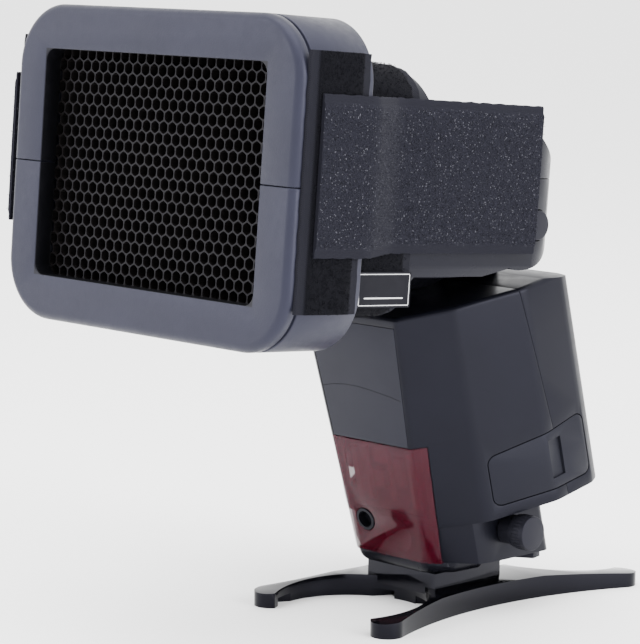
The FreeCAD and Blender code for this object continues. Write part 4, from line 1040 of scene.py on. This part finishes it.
def pile(name, ground, fibre, density, seed, finish, lean=0.5):
    """Fibres scattered over the middle of a tape, each turned and tilted its own way."""
    rule = Tree(name, Density=density / MM ** 2, Seed=seed, Lean=lean, Smallest=SMALLEST, Largest=LARGEST,
                Fibre=fibre, Finish=finishes[finish])
    source = rule.start.outputs[0]
    spread = rule.node("GeometryNodeDistributePointsOnFaces", Mesh=source, Density=rule.input("Density"),
                       Seed=rule.input("Seed"))
    size = rule.node("FunctionNodeRandomValue", {"data_type": "FLOAT"}, Min=rule.input("Smallest"),
                     Max=rule.input("Largest"), Seed=rule.input("Seed"))
    form = rule.node("GeometryNodeObjectInfo", Object=rule.input("Fibre")).outputs["Geometry"]
    copies = rule.node("GeometryNodeInstanceOnPoints", Points=spread.outputs["Points"], Instance=form,
                       Rotation=spread.outputs["Rotation"],
                       Scale=next(s for s in size.outputs if s.enabled))
    most = rule.node("ShaderNodeCombineXYZ", X=rule.input("Lean"), Y=rule.input("Lean"), Z=math.pi)
    least = rule.node("ShaderNodeVectorMath", {"operation": "SCALE"}, Vector=most.outputs[0], Scale=-1.0)
    turn = rule.node("FunctionNodeRandomValue", {"data_type": "FLOAT_VECTOR"}, Min=least.outputs[0],
                     Max=most.outputs[0], Seed=rule.input("Seed"))
    turned_copies = rule.node("GeometryNodeRotateInstances", Instances=copies.outputs[0],
                              Rotation=next(s for s in turn.outputs if s.enabled))
    rule.close(turned_copies.outputs[0], rule.input("Finish"))
    mesh = rule.run(ground)
    print(name, len(mesh.polygons), "faces")
    return mesh


# %% [markdown]
# ## Loop pads, hook straps and head band
# The two pads of loop tape are glued to the frame's sides.  A strap of hook tape presses on
# each pad, turns in to the head and lies along it, over the band of loop tape that goes
# round the head.  All are stretched flat by hand, with soft bends where they change course.

# %% Loop pads
GRID_HALF, PAD_GAP = 51.75, 0.06
PAD_THICK, PAD_HEM = 1.4, 0.13
PAD_EDGE, PAD_WIDE, PAD_TALL, PAD_MID = 2.2, 19.8, 61.0, 1.3


def pad_on(side):
    def place(a, b, c):
        return on_grid(side * a, c, b)
    return place


pad_ends = [Vector((GRID_HALF + PAD_GAP, PAD_MID + end * PAD_TALL / 2)) for end in (-1, 1)]
pad_line, _ = evenly(pad_ends, 2.0)
pad_shape = (pad_line, 1, PAD_EDGE, PAD_EDGE + PAD_WIDE, PAD_THICK - 0.1, PAD_HEM)
pad_forms = [swept_tape(*pad_shape, pad_on(side)) for side in (1, -1)]
pads = keep("loop_pad_tape", joined(*pad_forms), "loop", "head", "loop_pads", smooth=50.0)
pad_grounds = [swept_tape(*pad_shape, pad_on(side), pile=True) for side in (1, -1)]
pad_pile = pile("loop_pad_pile", joined(*pad_grounds), LOOP_FIBRE, 2.1, 4, "fibre")
keep("loop_pad_pile", pad_pile, "fibre", "head")

# %% [markdown]
# The band goes once round the head, so its line is closed: a rectangle with rounded corners
# that clears the shell by a hair.  The same sweep makes it as makes the pads.

# %% Head band
HEAD_HALF, BAND_THICK, BAND_FRONT, BAND_REAR = 38.0, 1.36, -52.0, -77.0
BAND_LOW, BAND_HIGH, BAND_CORNER, BAND_HEM = 83.46, 143.34, 9.0, 0.10


def on_band(a, b, c):
    return on_head(a, c, b)


half = HEAD_HALF + 0.05
corners = [(half, BAND_LOW), (half, BAND_HIGH), (-half, BAND_HIGH), (-half, BAND_LOW)]
band_line, band_length = evenly(rounded(corners, [BAND_CORNER] * 4), 2.0, True)
band_shape = (band_line, 1, BAND_REAR, BAND_FRONT, BAND_THICK, BAND_HEM, on_band, True)
band = keep("head_band", swept_tape(*band_shape), "loop", "head", "loop_band", smooth=50.0)
band_pile = pile("head_band_pile", swept_tape(*band_shape, pile=True), LOOP_FIBRE, 1.1, 9, "fibre")
keep("head_band_pile", band_pile, "fibre", "head")
print("band length", round(band_length, 1), "mm")

# %% [markdown]
# Each strap starts on its pad, runs back past the frame's edge, turns in to the head and
# lies flat along it.  Tape that is pulled tight bends only where it has to, so the line is
# three straight runs with two soft arcs.

# %% Hook straps
STRAP_LOW, STRAP_HIGH, STRAP_THICK, STRAP_HEM = -16.0, 22.0, 1.06, 0.055
PAD_SIDE, HEAD_SIDE, STRAP_END = 53.3, 39.6, 98.6
BEND_BACK, BEND_IN, BEND_RADII = 24.2, 45.0, (7.0, 12.0)


def strap_on(side):
    def place(a, b, c):
        return on_grid(side * a, b, c)
    return place


for label, side, lift, start, seed in (("right", 1, 0.0, 6.0, 21), ("left", -1, 0.8, 2.0, 22)):
    corners = [(PAD_SIDE + lift, start), (PAD_SIDE, BEND_BACK), (HEAD_SIDE, BEND_IN), (HEAD_SIDE, STRAP_END)]
    line, length = evenly(bent_line(corners, BEND_RADII), 1.6)
    form = (line, 1, STRAP_LOW, STRAP_HIGH, STRAP_THICK, STRAP_HEM, strap_on(side))
    strap = keep("hook_strap_" + label + "_tape", swept_tape(*form), "hook", "head", "hook_strap_" + label,
                 smooth=50.0)
    hooks = pile("hooks_" + label, swept_tape(*form, pile=True), HOOK_FIBRE, 0.8, seed, "hooks", 0.25)
    keep("hook_strap_" + label + "_hooks", hooks, "hooks", "head")
    print("strap", label, round(length, 1), "mm long")

# %% [markdown]
# ## Blank label
# A small woven label is stitched to the band: black, with a thin pale border and a plain
# line in place of any words.

# %% Label
def plate(x_low, x_high, outline, place):
    """A thin plate whose outline is given in two coordinates."""
    return lofted([[place(x, p.x, p.y) for p in outline] for x in (x_low, x_high)], "plate")


def frame_line(x_low, x_high, low, high, radius, width, place):
    """A thin rounded frame."""
    def outline(inset):
        corners = [(low[0] + inset, low[1] + inset), (high[0] - inset, low[1] + inset),
                   (high[0] - inset, high[1] - inset), (low[0] + inset, high[1] - inset)]
        return rounded(corners, [radius - inset * 0.8] * 4)
    outer, inner = outline(0.0), outline(width)
    count = len(outer)
    shape = bmesh.new()
    loops = [[shape.verts.new(place(x, p.x, p.y)) for p in line]
             for line, x in ((outer, x_low), (outer, x_high), (inner, x_high), (inner, x_low))]
    for near, far in zip(loops, loops[1:] + loops[:1]):
        for k in range(count):
            shape.faces.new((near[k], near[(k + 1) % count], far[(k + 1) % count], far[k]))
    bmesh.ops.recalc_face_normals(shape, faces=shape.faces)
    mesh = bpy.data.meshes.new("frame_line")
    shape.to_mesh(mesh)
    shape.free()
    return mesh


LABEL_LOW, LABEL_HIGH, LABEL_SKIN = (-71.0, 85.4), (-52.4, 94.2), 39.84
LABEL_BACK, BORDER_IN = 39.48, 0.5
STITCH_LOW, STITCH_HIGH = LABEL_SKIN - 0.03, LABEL_SKIN + 0.03
label_corners = [LABEL_LOW, (LABEL_HIGH[0], LABEL_LOW[1]), LABEL_HIGH, (LABEL_LOW[0], LABEL_HIGH[1])]
patch = plate(LABEL_BACK, LABEL_SKIN, rounded(label_corners, [0.4] * 4), on_head)
keep("label_patch", patch, "label", "head", "blank_label")
border = frame_line(STITCH_LOW, STITCH_HIGH, (LABEL_LOW[0] + BORDER_IN, LABEL_LOW[1] + BORDER_IN),
                    (LABEL_HIGH[0] - BORDER_IN, LABEL_HIGH[1] - BORDER_IN), 0.35, 0.17, on_head)
keep("label_border", border, "thread", "head")
dash = rounded([(-68.6, 87.6), (-55.0, 87.6), (-55.0, 87.9), (-68.6, 87.9)], [0.12] * 4)
keep("label_line", plate(STITCH_LOW, STITCH_HIGH, dash, on_head), "thread", "head")
print("label", round(LABEL_HIGH[0] - LABEL_LOW[0], 1), "by", round(LABEL_HIGH[1] - LABEL_LOW[1], 1), "mm")

# %% [markdown]
# ## Head, neck and controls
# These parts have the right form already, so each keeps its CAD shape and gains a fine edge
# radius.  Small radii on buttons and larger ones on housings follow the real mouldings.

# %% Edge radii
SOFTENED = [
    ("head_lower_shell", "head_lower_skin", "head_shell", "head", 0.45, 3),
    ("head_upper_shell", "head_upper_skin", "head_shell", "head", 0.45, 3),
    ("turret", "turret_skin", "body_fine", "turret", 0.3, 2),
    ("swivel_ring", "swivel_disc", "gloss", "flash_body", 0.3, 3),
    ("tilt_release", "tilt_button", "button", "tilt_release", 0.4, 3),
    ("foot_block", "foot_housing", "body_fine", "flash_body", 0.35, 3),
    ("foot_plate", "foot_plate_skin", "foot", "flash_body", 0.12, 2),
    ("lock_lever", "lock_lever_skin", "button", "lock_lever", 0.35, 3),
    ("lock_release", "lock_release_skin", "button", "lock_release", 0.25, 2),
    ("display_window", "display_glass", "display", "flash_body", 0.2, 2),
    ("mode_button", "mode_key", "button", "mode_button", 0.35, 3),
    ("sync_button", "sync_key", "button", "sync_button", 0.35, 3),
    ("zoom_button", "zoom_key", "button", "zoom_button", 0.35, 3),
    ("light_button", "light_key", "button", "light_button", 0.35, 3),
    ("set_button", "set_key", "button", "set_button", 0.4, 3),
    ("test_button", "test_key", "test_red", "test_button", 0.4, 3),
    ("power_switch", "power_slider", "button", "power_switch", 0.3, 2),
]
for node, name, finish, body, width, segments in SOFTENED:
    softened(node, name, finish, body, width, segments)
print(len(SOFTENED), "pieces with edge radii")

# %% [markdown]
# ## Ribs on the dial and the sync cap
# Grips are ribs repeated round an axis, which Geometry Nodes places: a circle of points, one
# rib on each, turned to face outwards.

# %% Ribs round an axis
def rib_mesh(length, width, height):
    """A rounded rib that lies along Y and rises along X, from its foot at the origin, in millimetres."""
    section = [(-0.2, -width / 2), (height * 0.6, -width / 2), (height, -width / 4), (height, width / 4),
               (height * 0.6, width / 2), (-0.2, width / 2)]
    rings = [[Vector((x * taper, y, z * taper)) for x, z in section]
             for y, taper in ((0.0, 0.75), (length * 0.08, 1.0), (length * 0.92, 1.0), (length, 0.75))]
    return lofted(rings, "rib")


def rib_ring(name, count, radius, length, width, height, finish, place):
    """Ribs on a circle round Y, then moved to their place on the object."""
    rule = Tree(name, Count=count, Radius=radius, Rib=model_object("rib", rib_mesh(length, width, height)),
                Finish=finishes[finish])
    index = rule.node("GeometryNodeInputIndex").outputs[0]
    turn = rule.math("MULTIPLY", index, rule.math("DIVIDE", 2 * math.pi, rule.input("Count")))
    x = rule.math("MULTIPLY", rule.math("COSINE", turn), rule.input("Radius"))
    z = rule.math("MULTIPLY", rule.math("SINE", turn), rule.input("Radius"))
    spot = rule.node("ShaderNodeCombineXYZ", X=x, Z=z)
    line = rule.node("GeometryNodeMeshLine", Count=rule.input("Count"))
    points = rule.node("GeometryNodeSetPosition", Geometry=line.outputs[0], Position=spot.outputs[0])
    facing = rule.node("ShaderNodeCombineXYZ", Y=rule.math("MULTIPLY", turn, -1.0))
    form = rule.node("GeometryNodeObjectInfo", Object=rule.input("Rib")).outputs["Geometry"]
    copies = rule.node("GeometryNodeInstanceOnPoints", Points=points.outputs[0], Instance=form,
                       Rotation=facing.outputs[0])
    rule.close(copies.outputs[0], rule.input("Finish"))
    mesh = rule.run(bpy.data.meshes.new("seed"))
    for vertex in mesh.vertices:
        vertex.co = place(*vertex.co)
    face_outwards(mesh)
    return mesh


def face_outwards(mesh):
    """Points every face outwards again, after a place that mirrors."""
    shape = bmesh.new()
    shape.from_mesh(mesh)
    bmesh.ops.recalc_face_normals(shape, faces=shape.faces)
    shape.to_mesh(mesh)
    shape.free()


DIAL_FACE, DIAL_Z, DIAL_R = 35.45, 44.0, 8.0
CAP_SIDE, CAP_Y, CAP_Z, CAP_R = 29.8, 1.2, 22.4, 4.52


def on_dial(x, y, z):
    return on_body(x, y + DIAL_FACE, z + DIAL_Z)


def on_cap(x, y, z):
    return in_row(y + CAP_SIDE, x + CAP_Y, z + CAP_Z)


softened("select_dial", "dial_core", "dial", "select_dial", 0.35, 3)
dial_ribs = rib_ring("dial_ribs", 36, DIAL_R - 0.05, 2.1, 0.62, 0.28, "dial", on_dial)
keep("dial_ribs", dial_ribs, "dial", "select_dial")
softened("sync_cap", "sync_plug", "button", "sync_cap", 0.45, 3)
cap_ribs = rib_ring("sync_plug_ribs", 30, CAP_R, 2.6, 0.5, 0.24, "button", on_cap)
keep("sync_plug_ribs", cap_ribs, "button", "sync_cap")
print("ribs", len(dial_ribs.polygons), "and", len(cap_ribs.polygons), "faces")

# %% [markdown]
# ## Inner parts
# What sits inside keeps its CAD shape.  It still gets a real finish, because it shows when
# the covers are open or the shells are lifted off.

# %% Finishes of the inner parts
CARRIED = {
    "tripod_insert": "brass", "foot_contacts": "brass", "lock_pin": "steel", "lamp_block": "lamp",
    "slave_sensor": "crease", "display_module": "white", "control_board": "board",
    "battery_holder": "inner", "battery_cells": "sleeve", "capacitor": "sleeve", "main_board": "board",
    "door_carrier": "steel", "power_socket": "inner", "bracket_nut": "steel", "sync_terminal": "brass",
    "tilt_axle": "steel", "fresnel_lens": "lens", "reflector": "bright", "flash_tube": "clear",
    "zoom_carriage": "inner", "lead_screw": "steel", "zoom_motor": "steel", "wide_panel": "clear",
    "catchlight_panel": "white", "tube_board": "board",
}
for node, finish in CARRIED.items():
    for holder in nodes[node].material_slots:
        holder.material = finishes[finish]
print(len(CARRIED), "carried-over nodes finished")
